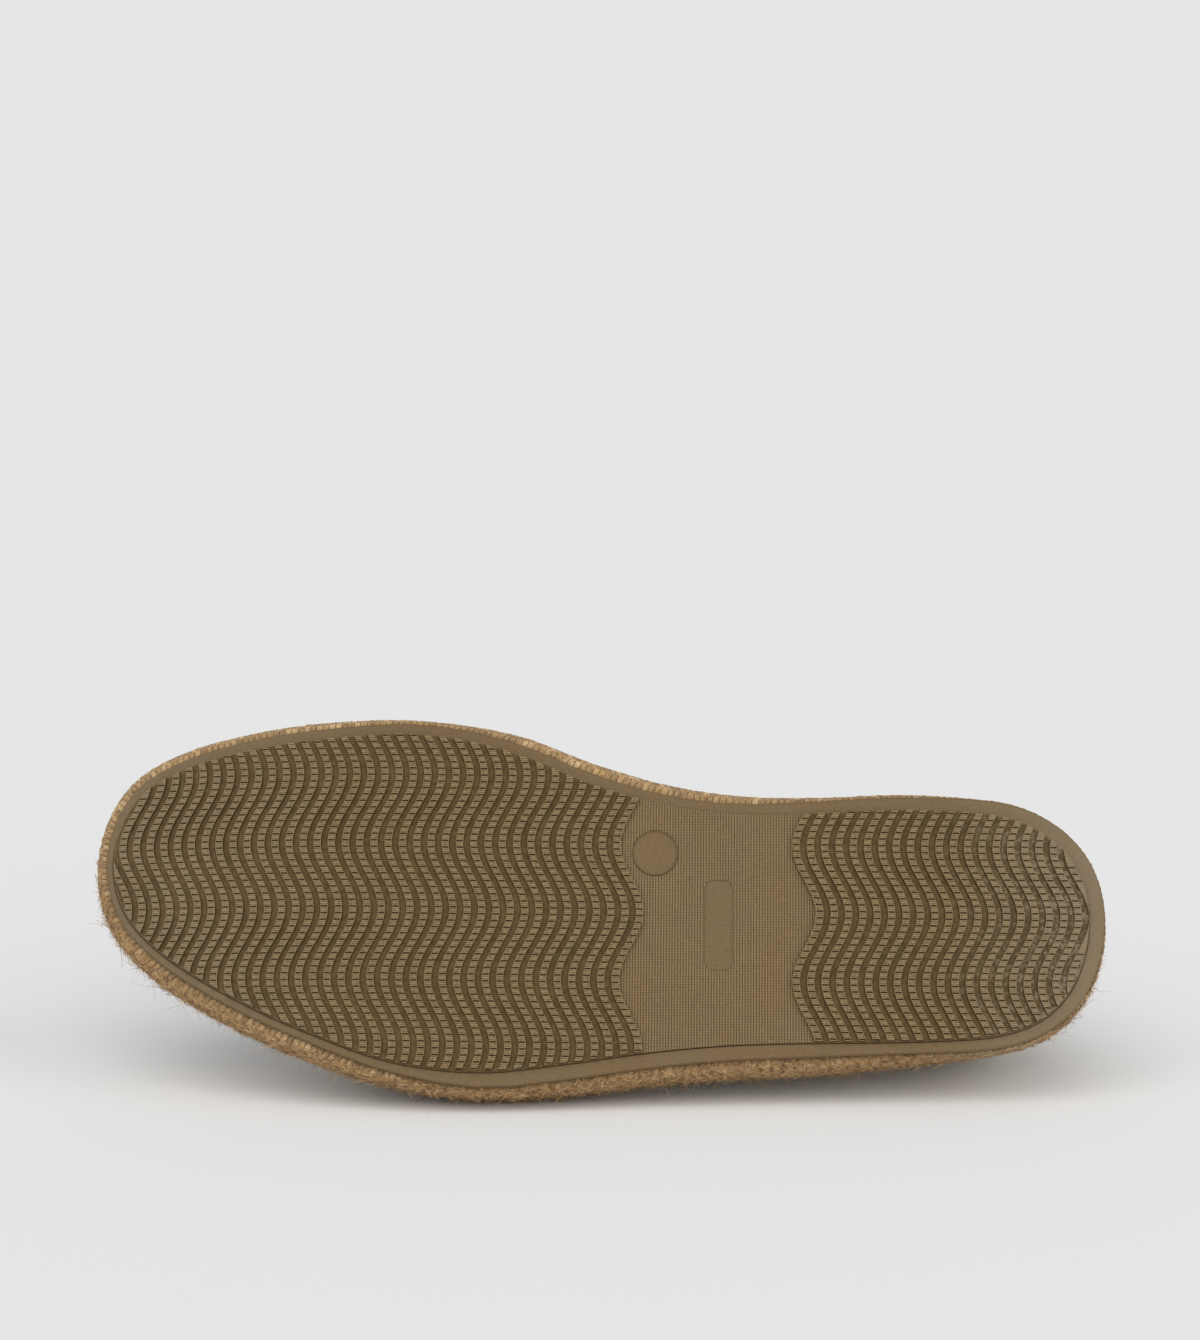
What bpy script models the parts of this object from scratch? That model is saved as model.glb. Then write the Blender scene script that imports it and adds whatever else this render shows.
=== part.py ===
"""Right espadrille slip-on, lying on its outer side.

It is modelled upright, as it is made: X runs from the heel to the toe, Y to the inner (medial) side and Z up
from the ground. An empty then carries the finished pieces to the pose in which such a shoe comes to rest on
its side, with the sole facing -Y and the toe towards -X. Lengths are in metres, and the tables are in
millimetres.
"""

import math

import bmesh
import bpy
import numpy as np
from mathutils import Matrix, Vector

MM = 0.001

# Driving sizes of a size 42 shoe
SOLE_LENGTH = 288.0 * MM
TOE_SPRING = 14.0 * MM
SPRING_RUN = 90.0 * MM
WALL = 1.6 * MM
GAP = 0.3 * MM

# Heights above the ground where the sole is flat
PAD_FACE = 0.0 * MM
PANEL_FACE = 1.2 * MM
RIM_FACE = 1.8 * MM
RUBBER_TOP = 4.0 * MM
JUTE_BOTTOM = RUBBER_TOP + GAP
JUTE_TOP = 19.5 * MM
FOOTBED = JUTE_TOP + GAP
INSOLE_THICKNESS = 3.0 * MM

# Steps of the rubber's edge
RIM_ROUND = 0.4 * MM
PANEL_DRAFT = 0.15 * MM
PAD_INSET = 0.1 * MM
PAD_DRAFT = 0.1 * MM
PAD_ROOT = 2.6 * MM

# Wavy tread: the pattern's turn from the heel-to-toe line, and the lines where the two pads end at the waist
TREAD_TURN = math.radians(4.2)
WAVE_LENGTH = 39.2 * MM
WAVE_HEIGHT = 3.4 * MM
WAVE_CREST = 22.6 * MM
FOREFOOT_PAD_END = 134.7 * MM
HEEL_PAD_END = 85.8 * MM
WAVE_REACH = 80.0 * MM
WAVE_STEPS = 40

# How far the last's edge lies inside the jute's edge and above the footbed, and the insole inside the upper
LAST_INSET = 6.6 * MM
SEAM_LIFT = 0.15 * MM
INSOLE_CLEARANCE = 0.5 * MM
INSOLE_ROUND = 0.6 * MM

SOLE_ANGLES = np.linspace(0.0, math.pi, 45)
UPPER_STATIONS = 46
STATION_CROWDING = 0.09
UPPER_ROWS = 9
WELD = 0.01 * MM

# Densities in kg/m3, for the balance of the lying shoe
RUBBER_DENSITY = 1200.0
FIBRE_DENSITY = 300.0

# Least share of a resting face's normal that points to the lateral side
LATERAL_SHARE = 0.85

# Colours and roughness of the pieces
RUBBER_COLOUR = (0.202, 0.139, 0.074)
JUTE_COLOUR = (0.371, 0.254, 0.130)
CANVAS_COLOUR = (0.60, 0.52, 0.40)
FOOTBED_COLOUR = (0.45, 0.36, 0.24)
RUBBER_ROUGHNESS = 0.7
FIBRE_ROUGHNESS = 0.9
SHARP_EDGE = math.radians(35.0)

# Rubber sole, section by section from the heel: half widths, how far the jute stands out past them, and the
# rim's width
SOLE_COLUMNS = ("from_heel", "medial", "lateral", "jute_medial", "jute_lateral", "rim_medial", "rim_lateral")
SOLE_SECTIONS = (
    (0.0, 0.0, 0.0, 0.6, 0.8, 4.5, 4.5),
    (5.5, 19.6, 21.3, 0.7, 0.9, 4.2, 4.1),
    (15.0, 28.8, 31.0, 0.7, 0.7, 4.2, 3.5),
    (28.0, 33.9, 36.5, 0.9, 0.5, 4.1, 3.2),
    (42.0, 34.5, 38.9, 1.2, 0.9, 3.8, 3.2),
    (60.0, 33.4, 41.1, 1.8, 2.2, 3.6, 3.3),
    (84.0, 30.2, 44.1, 2.1, 3.3, 3.4, 4.0),
    (105.0, 27.6, 46.8, 3.3, 3.5, 3.1, 4.2),
    (126.0, 28.1, 50.7, 4.0, 3.1, 2.9, 4.3),
    (148.0, 32.4, 55.7, 4.0, 2.8, 2.9, 4.3),
    (172.0, 40.0, 60.1, 3.2, 1.8, 2.9, 4.2),
    (197.0, 43.1, 58.3, 2.2, 2.6, 2.9, 2.8),
    (225.0, 40.1, 50.7, 2.9, 3.6, 2.9, 2.3),
    (252.0, 34.1, 40.2, 3.3, 3.8, 2.7, 2.3),
    (270.0, 27.4, 30.1, 3.5, 4.0, 2.5, 2.2),
    (281.0, 19.7, 20.2, 3.5, 3.7, 2.3, 2.1),
    (288.0, 0.0, 0.0, 3.2, 3.2, 2.2, 2.2),
)

# Side of the jute: height as a share of its thickness, share of the stand-out, and the swell of the courses
JUTE_COLUMNS = ("height", "stand_out", "swell")
JUTE_PROFILE = (
    (0.00, 0.55, 0.0),
    (0.07, 0.95, 0.0),
    (0.26, 1.00, 0.5),
    (0.50, 1.00, -0.3),
    (0.74, 1.00, 0.5),
    (0.93, 1.00, 0.0),
    (1.00, 1.00, -1.0),
)

# Upper, section by section: the place on the last's edge where a section starts, and the point where it
# ends, on the collar back to the heel and on the ridge of the instep forward of the throat. The sides leave
# the edge upright and swell by the flare; rise, reach and drop are the lengths of the section's two tangents.
UPPER_COLUMNS = (
    "from_heel",
    "end_x",
    "end_medial",
    "end_lateral",
    "end_height",
    "flare",
    "rise",
    "reach",
    "drop",
)
UPPER_SECTIONS = (
    (0.0, 14.0, 0.0, 0.0, 59.0, 3.0, 0.45, 0.10, 0.35),
    (5.5, 16.5, 11.0, 11.5, 58.0, 2.8, 0.45, 0.10, 0.35),
    (15.0, 22.5, 18.5, 19.0, 55.0, 2.4, 0.45, 0.10, 0.35),
    (28.0, 33.0, 23.5, 24.0, 50.5, 2.0, 0.45, 0.12, 0.35),
    (42.0, 45.0, 25.5, 27.4, 47.0, 1.6, 0.45, 0.15, 0.35),
    (60.0, 61.0, 26.0, 29.2, 45.0, 1.2, 0.45, 0.20, 0.35),
    (84.0, 82.0, 25.5, 30.2, 44.5, 0.8, 0.45, 0.25, 0.32),
    (105.0, 100.0, 25.0, 30.4, 45.5, 0.4, 0.45, 0.30, 0.28),
    (126.0, 117.0, 23.5, 28.5, 48.5, 0.2, 0.47, 0.36, 0.22),
    (148.0, 134.0, 19.0, 22.5, 53.0, -0.8, 0.47, 0.41, 0.14),
    (162.0, 143.0, 13.0, 14.0, 56.0, -1.0, 0.47, 0.45, 0.07),
    (176.0, 147.5, 2.5, -2.5, 57.5, -1.0, 0.47, 0.47, 0.0),
    (197.0, 162.0, 3.0, -3.0, 53.5, -0.8, 0.48, 0.48, 0.0),
    (225.0, 195.0, 3.0, -3.0, 42.5, -0.2, 0.52, 0.52, 0.0),
    (252.0, 229.0, 2.0, -2.0, 32.5, 0.5, 0.55, 0.55, 0.0),
    (270.0, 249.0, 1.0, -1.0, 28.0, 0.8, 0.58, 0.58, 0.0),
    (281.0, 258.0, 0.4, -0.4, 26.0, 1.0, 0.60, 0.60, 0.0),
    (288.0, 261.0, 0.0, 0.0, 25.5, 1.0, 0.60, 0.60, 0.0),
)
THROAT_FROM_HEEL = 176.0


def angle_of(from_heel):
    """Turn a distance from the heel into an angle in which the round heel and toe are smooth."""
    share = np.clip(np.asarray(from_heel) * MM / SOLE_LENGTH, 0.0, 1.0)
    return np.arccos(1.0 - 2.0 * share)


def smooth(stops, values, at):
    """Cubic curve through the values of a table column."""
    stops = np.asarray(stops, float)
    values = np.asarray(values, float)
    slope = np.diff(values) / np.diff(stops)
    gap = np.diff(stops)
    tangent = np.empty_like(values)
    tangent[1:-1] = (slope[:-1] * gap[1:] + slope[1:] * gap[:-1]) / (gap[1:] + gap[:-1])
    tangent[0] = slope[0]
    tangent[-1] = slope[-1]
    i = np.clip(np.searchsorted(stops, at) - 1, 0, len(gap) - 1)
    t = (at - stops[i]) / gap[i]
    start = values[i] * (1 + 2 * t) * (1 - t) ** 2 + tangent[i] * gap[i] * t * (1 - t) ** 2
    end = values[i + 1] * t * t * (3 - 2 * t) - tangent[i + 1] * gap[i] * t * t * (1 - t)
    return start + end


def read_table(columns, rows, angles):
    """A table's columns by name, read along smooth curves at the given angles."""
    stops = angle_of([row[0] for row in rows])
    return {name: smooth(stops, [row[i] for row in rows], angles) for i, name in enumerate(columns)}


def spring(x):
    """Height of the toe spring at x."""
    share = np.clip((x - (SOLE_LENGTH - SPRING_RUN)) / SPRING_RUN, 0.0, None)
    return TOE_SPRING * share**2


def both_sides(medial, lateral):
    """Values round the sole: heel to toe on the medial side, then back on the lateral side."""
    return np.concatenate([medial, lateral[-2:0:-1]])


def outline(angles):
    """Points round the rubber sole, their outward normals, the jute's stand-out and the rim's width."""
    x = SOLE_LENGTH * (1.0 - np.cos(angles)) / 2.0
    read = read_table(SOLE_COLUMNS, SOLE_SECTIONS, angles)
    points = np.stack([both_sides(x, x), both_sides(read["medial"], -read["lateral"]) * MM], 1)
    along = np.roll(points, -1, 0) - np.roll(points, 1, 0)
    normals = np.stack([-along[:, 1], along[:, 0]], 1)
    normals /= np.linalg.norm(normals, axis=1)[:, None]
    stand_out = both_sides(read["jute_medial"], read["jute_lateral"]) * MM
    rim = both_sides(read["rim_medial"], read["rim_lateral"]) * MM
    return points, normals, stand_out, rim


def ring(points, normals, offset, height):
    """A closed ring of points, moved out from the outline and lifted along the toe spring."""
    flat = points + normals * np.reshape(offset, (-1, 1))
    return np.column_stack([flat, height + spring(flat[:, 0])])


def new_object(name, mesh, collection):
    obj = bpy.data.objects.new(name, mesh)
    collection.objects.link(obj)
    return obj


def loft(name, rings, collection):
    """A closed plate through rings, its two faces laid in strips that follow the toe spring."""
    bm = bmesh.new()
    loops = [[bm.verts.new(point) for point in points] for points in rings]
    count = len(loops[0])
    half = count // 2
    for lower, upper in zip(loops, loops[1:]):
        for i in range(count):
            bm.faces.new((lower[i], lower[(i + 1) % count], upper[(i + 1) % count], upper[i]))
    for loop in (loops[0], loops[-1]):
        for i in range(half):
            strip = (loop[i], loop[i + 1], loop[count - i - 1], loop[(count - i) % count])
            bm.faces.new(tuple(dict.fromkeys(strip)))
    bmesh.ops.recalc_face_normals(bm, faces=bm.faces)
    mesh = bpy.data.meshes.new(name)
    bm.to_mesh(mesh)
    bm.free()
    return new_object(name, mesh, collection)


def tread_point(along, across):
    """A place in the turned tread pattern, in the sole's own X and Y."""
    x = along * math.cos(TREAD_TURN) + across * math.sin(TREAD_TURN)
    y = across * math.cos(TREAD_TURN) - along * math.sin(TREAD_TURN)
    return x, y


def wave_line(along):
    """A wavy line across the sole."""
    line = []
    for across in np.linspace(-WAVE_REACH, WAVE_REACH, WAVE_STEPS + 1):
        swing = WAVE_HEIGHT * math.cos(2.0 * math.pi * (across - WAVE_CREST) / WAVE_LENGTH)
        line.append(tread_point(along + swing, across))
    return line


def waist_cutter(collection):
    """Block between the two wavy lines where the tread pads end."""
    bm = bmesh.new()
    edge = wave_line(HEEL_PAD_END) + wave_line(FOREFOOT_PAD_END)[::-1]
    floor = bm.faces.new([bm.verts.new((x, y, PAD_FACE - RUBBER_TOP)) for x, y in edge])
    raised = bmesh.ops.extrude_face_region(bm, geom=[floor])["geom"]
    top = [v for v in raised if isinstance(v, bmesh.types.BMVert)]
    bmesh.ops.translate(bm, verts=top, vec=(0.0, 0.0, 2.0 * RUBBER_TOP))
    bmesh.ops.recalc_face_normals(bm, faces=bm.faces)
    mesh = bpy.data.meshes.new("waist_cutter")
    bm.to_mesh(mesh)
    bm.free()
    return new_object("waist_cutter", mesh, collection)


def boolean(obj, other, operation):
    cut = obj.modifiers.new(operation.lower(), "BOOLEAN")
    cut.operation = operation
    cut.object = other
    other.hide_render = True
    other.display_type = "WIRE"


def build_outsole(parts, cutters):
    """Rubber plate: top, edge, rim, raised panel and the two tread pads."""
    points, normals, _, rim = outline(SOLE_ANGLES)
    edge = np.zeros_like(rim)
    panel = -rim - PANEL_DRAFT
    plate = loft(
        "outsole",
        [
            ring(points, normals, edge, RUBBER_TOP),
            ring(points, normals, edge, RIM_FACE + RIM_ROUND),
            ring(points, normals, edge - RIM_ROUND, RIM_FACE),
            ring(points, normals, -rim, RIM_FACE),
            ring(points, normals, panel, PANEL_FACE),
        ],
        parts,
    )
    pads = loft(
        "tread_pads",
        [
            ring(points, normals, panel - PAD_INSET, PAD_ROOT),
            ring(points, normals, panel - PAD_INSET - PAD_DRAFT, PAD_FACE),
        ],
        cutters,
    )
    boolean(pads, waist_cutter(cutters), "DIFFERENCE")
    boolean(plate, pads, "UNION")
    return plate


def build_jute(parts):
    """Jute plate with two swelling courses round its side."""
    points, normals, stand_out, _ = outline(SOLE_ANGLES)
    rings = []
    for row in JUTE_PROFILE:
        side = dict(zip(JUTE_COLUMNS, row))
        level = JUTE_BOTTOM + side["height"] * (JUTE_TOP - JUTE_BOTTOM)
        offset = side["stand_out"] * stand_out + side["swell"] * MM
        rings.append(ring(points, normals, offset, level))
    return loft("jute_midsole", rings, parts)


def build_insole(parts):
    """Footbed inside the upper."""
    points, normals, stand_out, _ = outline(SOLE_ANGLES)
    edge = stand_out - LAST_INSET - INSOLE_CLEARANCE
    top = FOOTBED + INSOLE_THICKNESS
    rings = [
        ring(points, normals, edge, FOOTBED),
        ring(points, normals, edge, top - INSOLE_ROUND),
        ring(points, normals, edge - INSOLE_ROUND, top),
    ]
    return loft("insole", rings, parts)


def upper_sections():
    """Angles of the upper's sections and their table, smooth behind and ahead of the throat.

    The sections crowd at the heel and at the throat, where the collar turns.
    """
    rows = [row[0] for row in UPPER_SECTIONS]
    split = rows.index(THROAT_FROM_HEEL)
    throat = float(angle_of(THROAT_FROM_HEEL))
    back = round(UPPER_STATIONS * throat / math.pi)
    share = np.linspace(0.0, 1.0, back + 1)
    behind = throat * (share - STATION_CROWDING * np.sin(2.0 * math.pi * share))
    ahead = np.linspace(throat, math.pi, UPPER_STATIONS - back + 1)[1:]
    quarters = read_table(UPPER_COLUMNS, UPPER_SECTIONS[: split + 1], behind)
    vamp = read_table(UPPER_COLUMNS, UPPER_SECTIONS[split:], ahead)
    table = {name: np.concatenate([quarters[name], vamp[name]]) for name in UPPER_COLUMNS}
    return np.concatenate([behind, ahead]), table


def section_points(base, normal, end, flare, rise, reach, drop):
    """Points up one section of the last, from its edge to the collar or the ridge."""
    out = np.array([normal[0] * flare, normal[1] * flare, rise * (end[2] - base[2])])
    leave = base + out
    arrive = end + (base - end) * np.array([reach, reach, drop])
    t = np.linspace(0.0, 1.0, UPPER_ROWS + 1)[:, None]
    return (1 - t) ** 3 * base + 3 * t * (1 - t) ** 2 * leave + 3 * t * t * (1 - t) * arrive + t**3 * end


def build_upper(parts):
    """Hollow upper: the last's surface from its edge to the collar and the ridge, with a wall outside it."""
    angles, table = upper_sections()
    points, normals, stand_out, _ = outline(angles)
    edge = ring(points, normals, stand_out - LAST_INSET, FOOTBED + SEAM_LIFT)
    bm = bmesh.new()
    for end_column, side in (("end_medial", 1), ("end_lateral", -1)):
        grid = []
        for i in range(len(angles)):
            place = side * i % len(edge)
            end_x = table["end_x"][i] * MM
            end_y = side * table[end_column][i] * MM
            end = np.array([end_x, end_y, FOOTBED + spring(end_x) + table["end_height"][i] * MM])
            flare = table["flare"][i] * MM
            tangents = [table[name][i] for name in ("rise", "reach", "drop")]
            section = section_points(edge[place], normals[place], end, flare, *tangents)
            grid.append([bm.verts.new(point) for point in section])
        for left, right in zip(grid, grid[1:]):
            for k in range(UPPER_ROWS):
                bm.faces.new((left[k], right[k], right[k + 1], left[k + 1]))
    bmesh.ops.remove_doubles(bm, verts=bm.verts, dist=WELD)
    bmesh.ops.recalc_face_normals(bm, faces=bm.faces)
    mesh = bpy.data.meshes.new("upper")
    bm.to_mesh(mesh)
    bm.free()
    upper = new_object("upper", mesh, parts)
    wall = upper.modifiers.new("wall", "SOLIDIFY")
    wall.thickness = WALL
    wall.offset = 1.0
    wall.use_even_offset = True
    wall.use_quality_normals = True
    return upper


def evaluated(obj):
    """A bmesh of the object with its modifiers."""
    bm = bmesh.new()
    bm.from_object(obj, bpy.context.evaluated_depsgraph_get())
    return bm


def moment(obj, density):
    """Mass of a closed piece, and its mass times its centre."""
    bm = evaluated(obj)
    bmesh.ops.triangulate(bm, faces=bm.faces)
    volume = 0.0
    centre = Vector()
    for face in bm.faces:
        a, b, c = (v.co for v in face.verts)
        part = a.dot(b.cross(c)) / 6.0
        volume += part
        centre += part * (a + b + c) / 4.0
    bm.free()
    return volume * density, centre * density


def resting_face(pieces, centre):
    """Normal of the lateral face of the shoe's hull that the centre of mass stands over.

    Where the shoe can rest on several such faces, the one that leans most on the upper is taken.
    """
    bm = bmesh.new()
    for piece in pieces:
        part = evaluated(piece)
        for vert in part.verts:
            bm.verts.new(vert.co)
        part.free()
    hull = bmesh.ops.convex_hull(bm, input=bm.verts)["geom"]
    faces = [item for item in hull if isinstance(item, bmesh.types.BMFace)]
    found = Vector((0.0, 0.0, -1.0))
    for face in faces:
        normal = face.normal.copy()
        if normal.dot(face.verts[0].co - centre) < 0.0:
            normal.negate()
        foot = centre + normal * normal.dot(face.verts[0].co - centre)
        corners = [v.co for v in face.verts]
        turns = [(b - a).cross(foot - a).dot(normal) for a, b in zip(corners, corners[1:] + corners[:1])]
        inside = min(turns) >= 0.0 or max(turns) <= 0.0
        if inside and -normal.y > LATERAL_SHARE and normal.z > found.z:
            found = normal
    bm.free()
    return found


def lie_down(pieces, densities, cutters):
    """Carry the upright pieces, with their cutters, to the pose in which the shoe rests on its side."""
    moments = [moment(piece, density) for piece, density in zip(pieces, densities)]
    mass = sum(m for m, _ in moments)
    centre = sum((c for _, c in moments), Vector()) / mass
    normal = resting_face(pieces, centre)
    down = normal.rotation_difference(Vector((0.0, 0.0, -1.0))).to_matrix()
    top = down @ Vector((0.0, 0.0, 1.0))
    turn = Matrix.Rotation(math.atan2(top.x, top.y), 3, "Z")
    pose = turn @ down
    corners = []
    for piece in pieces:
        part = evaluated(piece)
        corners.extend(pose @ vert.co for vert in part.verts)
        part.free()
    low = Vector([min(c[i] for c in corners) for i in range(3)])
    high = Vector([max(c[i] for c in corners) for i in range(3)])
    middle = (low + high) / 2.0
    carrier = bpy.data.objects.new("resting_pose", None)
    bpy.context.scene.collection.objects.link(carrier)
    carrier.matrix_world = Matrix.Translation((-middle.x, -middle.y, -low.z)) @ pose.to_4x4()
    for obj in (*pieces, *cutters.objects):
        obj.parent = carrier


def paint(obj, colour, roughness):
    """A plain material for one piece."""
    material = bpy.data.materials.new(obj.name)
    material.use_nodes = True
    shader = material.node_tree.nodes["Principled BSDF"]
    shader.inputs["Base Color"].default_value = (*colour, 1.0)
    shader.inputs["Roughness"].default_value = roughness
    shader.inputs["Metallic"].default_value = 0.0
    obj.data.materials.append(material)
    obj.data.shade_smooth()
    obj.data.set_sharp_from_angle(angle=SHARP_EDGE)


def main():
    for obj in list(bpy.data.objects):
        bpy.data.objects.remove(obj)
    parts = bpy.data.collections.new("espadrille")
    cutters = bpy.data.collections.new("cutters")
    for collection in (parts, cutters):
        bpy.context.scene.collection.children.link(collection)
    outsole = build_outsole(parts, cutters)
    jute = build_jute(parts)
    upper = build_upper(parts)
    insole = build_insole(parts)
    paint(outsole, RUBBER_COLOUR, RUBBER_ROUGHNESS)
    paint(jute, JUTE_COLOUR, FIBRE_ROUGHNESS)
    paint(upper, CANVAS_COLOUR, FIBRE_ROUGHNESS)
    paint(insole, FOOTBED_COLOUR, FIBRE_ROUGHNESS)
    bpy.context.view_layer.update()
    lie_down(
        (outsole, jute, upper, insole),
        (RUBBER_DENSITY, FIBRE_DENSITY, FIBRE_DENSITY, FIBRE_DENSITY),
        cutters,
    )


main()
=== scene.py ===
"""Looks of a right espadrille slip-on that lies on its outer side.

The pieces are modelled upright in the shoe's own axes, X from the heel to the toe, Y to the inner side and
Z up from the ground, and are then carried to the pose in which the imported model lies. The tables, and the
lengths given to the settings as defaults, are in millimetres.
"""

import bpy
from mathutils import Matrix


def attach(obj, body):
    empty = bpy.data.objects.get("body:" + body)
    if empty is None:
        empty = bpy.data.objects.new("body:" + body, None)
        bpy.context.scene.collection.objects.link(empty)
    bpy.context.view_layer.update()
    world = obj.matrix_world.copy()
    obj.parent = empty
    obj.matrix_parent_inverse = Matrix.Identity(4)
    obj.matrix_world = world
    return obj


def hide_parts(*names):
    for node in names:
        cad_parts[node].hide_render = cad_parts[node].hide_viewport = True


bl_info = {
    "name": "Jute espadrille",
    "version": (1, 0, 0),
    "blender": (4, 5, 0),
    "location": "View3D > Sidebar > Espadrille",
    "description": "Rubber, jute and canvas of a slip-on espadrille, and the stage that it is shown on",
    "category": "Add Mesh",
}

import math

import bmesh
import bpy
import numpy as np
from bpy.props import FloatProperty, FloatVectorProperty, IntProperty, PointerProperty
from mathutils import Matrix, Vector
from mathutils.bvhtree import BVHTree

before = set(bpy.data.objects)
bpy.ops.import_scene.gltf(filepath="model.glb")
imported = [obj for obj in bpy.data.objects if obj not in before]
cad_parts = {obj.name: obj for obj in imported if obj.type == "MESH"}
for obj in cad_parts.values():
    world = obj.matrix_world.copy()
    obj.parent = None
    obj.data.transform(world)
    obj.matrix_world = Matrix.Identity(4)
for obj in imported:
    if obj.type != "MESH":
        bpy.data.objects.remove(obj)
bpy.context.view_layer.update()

MM = 0.001

# Driving sizes of the shoe, as in the solids
SOLE_LENGTH = 288.0 * MM
TOE_SPRING = 14.0 * MM
SPRING_RUN = 90.0 * MM
WALL = 1.6 * MM
RIM_FACE = 1.8 * MM
PANEL_FACE = 1.2 * MM
FOOTBED = 19.8 * MM
INSOLE_THICKNESS = 3.0 * MM
LAST_INSET = 6.6 * MM
SEAM_LIFT = 0.15 * MM
INSOLE_CLEARANCE = 0.5 * MM

# How the shoe lies: the lean of its sole, the lift of its toe in the sole's plane, and the place of its heel
SOLE_LEAN = math.radians(23.169)
TOE_LIFT = math.radians(5.422)
HEEL_PLACE = Vector((144.672, -33.181, 48.981)) * MM

PANELS = ("disc", "plate")

# Finish of the rubber in each of its places; the grid, lines and groove finishes carry painted shade, and the
# grid and lines painted highlight as well
FINISHES = {"rim": "smooth", "waist": "grid", "ridge": "lines", "groove": "groove"}

# Mesh: points round the outline, the fine groove, the rim's inner edge, the footbed and the round panel,
# steps along a groove and round a panel's corner and edge, sides of the thin tubes, and points along a stitch
OUTLINE_SAMPLES = 1500
RIM_LINE_POINTS = 700
RIM_EDGE_POINTS = 900
FOOTBED_POINTS = 240
DISC_POINTS = 72
GROOVE_STEPS = 140
CORNER_STEPS = 6
EDGE_STEPS = 3
FIBRE_SIDES = 3
STITCH_SIDES = 6
STITCH_POINTS = 7

# Distances within which neighbouring points are joined
CUTTER_WELD = 0.002 * MM
DITCH_WELD = 0.001 * MM
STRAND_WELD = 0.004 * MM
CLOTH_WELD = 0.01 * MM

# How far a point may lie off the height of the face that it belongs to or off the fine groove, and how
# squarely a ridge and the waist face the ground
FACE_SLACK = 0.05 * MM
FLOOR_SLACK = 0.04 * MM
LINE_SLACK = 0.03 * MM
RIDGE_SLACK = 0.15 * MM
LINE_MARGIN = 0.2 * MM
RIDGE_FACING = -0.8
WAIST_FACING = -0.9

# Cutters: how far they reach past the face, how far the fine groove is set in and fades across the sole, how
# far a notch widens, and the rounding of a panel's edge
LINE_REACH = 0.8 * MM
DITCH_REACH = 1.0 * MM
LINE_INSET = 0.02 * MM
LINE_FADE = 0.6
NOTCH_DRAFT = 0.02 * MM
EDGE_ROUND = 0.12 * MM

# Materials: where most values of a noise texture lie, a share that rises with a value, the stretch of uneven
# threads, and where dust and powder fade in, from the heel
NOISE_RANGE = (0.3, 0.7)
RISING = (0.0, 1.0)
SLUB_STRETCH = 0.09
HEEL_DUST = (46.0, 6.0)
TOE_DUST = (215.0, 282.0)
HEEL_POWDER = (48.0, 14.0)

# Wavy tread: its turn from the heel-to-toe line, its waves, and where the two pads end at the waist
TREAD_TURN = math.radians(4.2)
WAVE_LENGTH = 39.2 * MM
WAVE_HEIGHT = 3.4 * MM
WAVE_CREST = 22.6 * MM
FOREFOOT_PAD_END = 134.7 * MM
HEEL_PAD_END = 85.8 * MM
TREAD_REACH = 70.0 * MM

# Rubber sole, section by section from the heel: half widths, how far the jute stands out past them, and the
# rim's width
SOLE_COLUMNS = ("from_heel", "medial", "lateral", "jute_medial", "jute_lateral", "rim_medial", "rim_lateral")
SOLE_SECTIONS = (
    (0.0, 0.0, 0.0, 0.6, 0.8, 4.5, 4.5),
    (5.5, 19.6, 21.3, 0.7, 0.9, 4.2, 4.1),
    (15.0, 28.8, 31.0, 0.7, 0.7, 4.2, 3.5),
    (28.0, 33.9, 36.5, 0.9, 0.5, 4.1, 3.2),
    (42.0, 34.5, 38.9, 1.2, 0.9, 3.8, 3.2),
    (60.0, 33.4, 41.1, 1.8, 2.2, 3.6, 3.3),
    (84.0, 30.2, 44.1, 2.1, 3.3, 3.4, 4.0),
    (105.0, 27.6, 46.8, 3.3, 3.5, 3.1, 4.2),
    (126.0, 28.1, 50.7, 4.0, 3.1, 2.9, 4.3),
    (148.0, 32.4, 55.7, 4.0, 2.8, 2.9, 4.3),
    (172.0, 40.0, 60.1, 3.2, 1.8, 2.9, 4.2),
    (197.0, 43.1, 58.3, 2.2, 2.6, 2.9, 2.8),
    (225.0, 40.1, 50.7, 2.9, 3.6, 2.9, 2.3),
    (252.0, 34.1, 40.2, 3.3, 3.8, 2.7, 2.3),
    (270.0, 27.4, 30.1, 3.5, 4.0, 2.5, 2.2),
    (281.0, 19.7, 20.2, 3.5, 3.7, 2.3, 2.1),
    (288.0, 0.0, 0.0, 3.2, 3.2, 2.2, 2.2),
)

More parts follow.
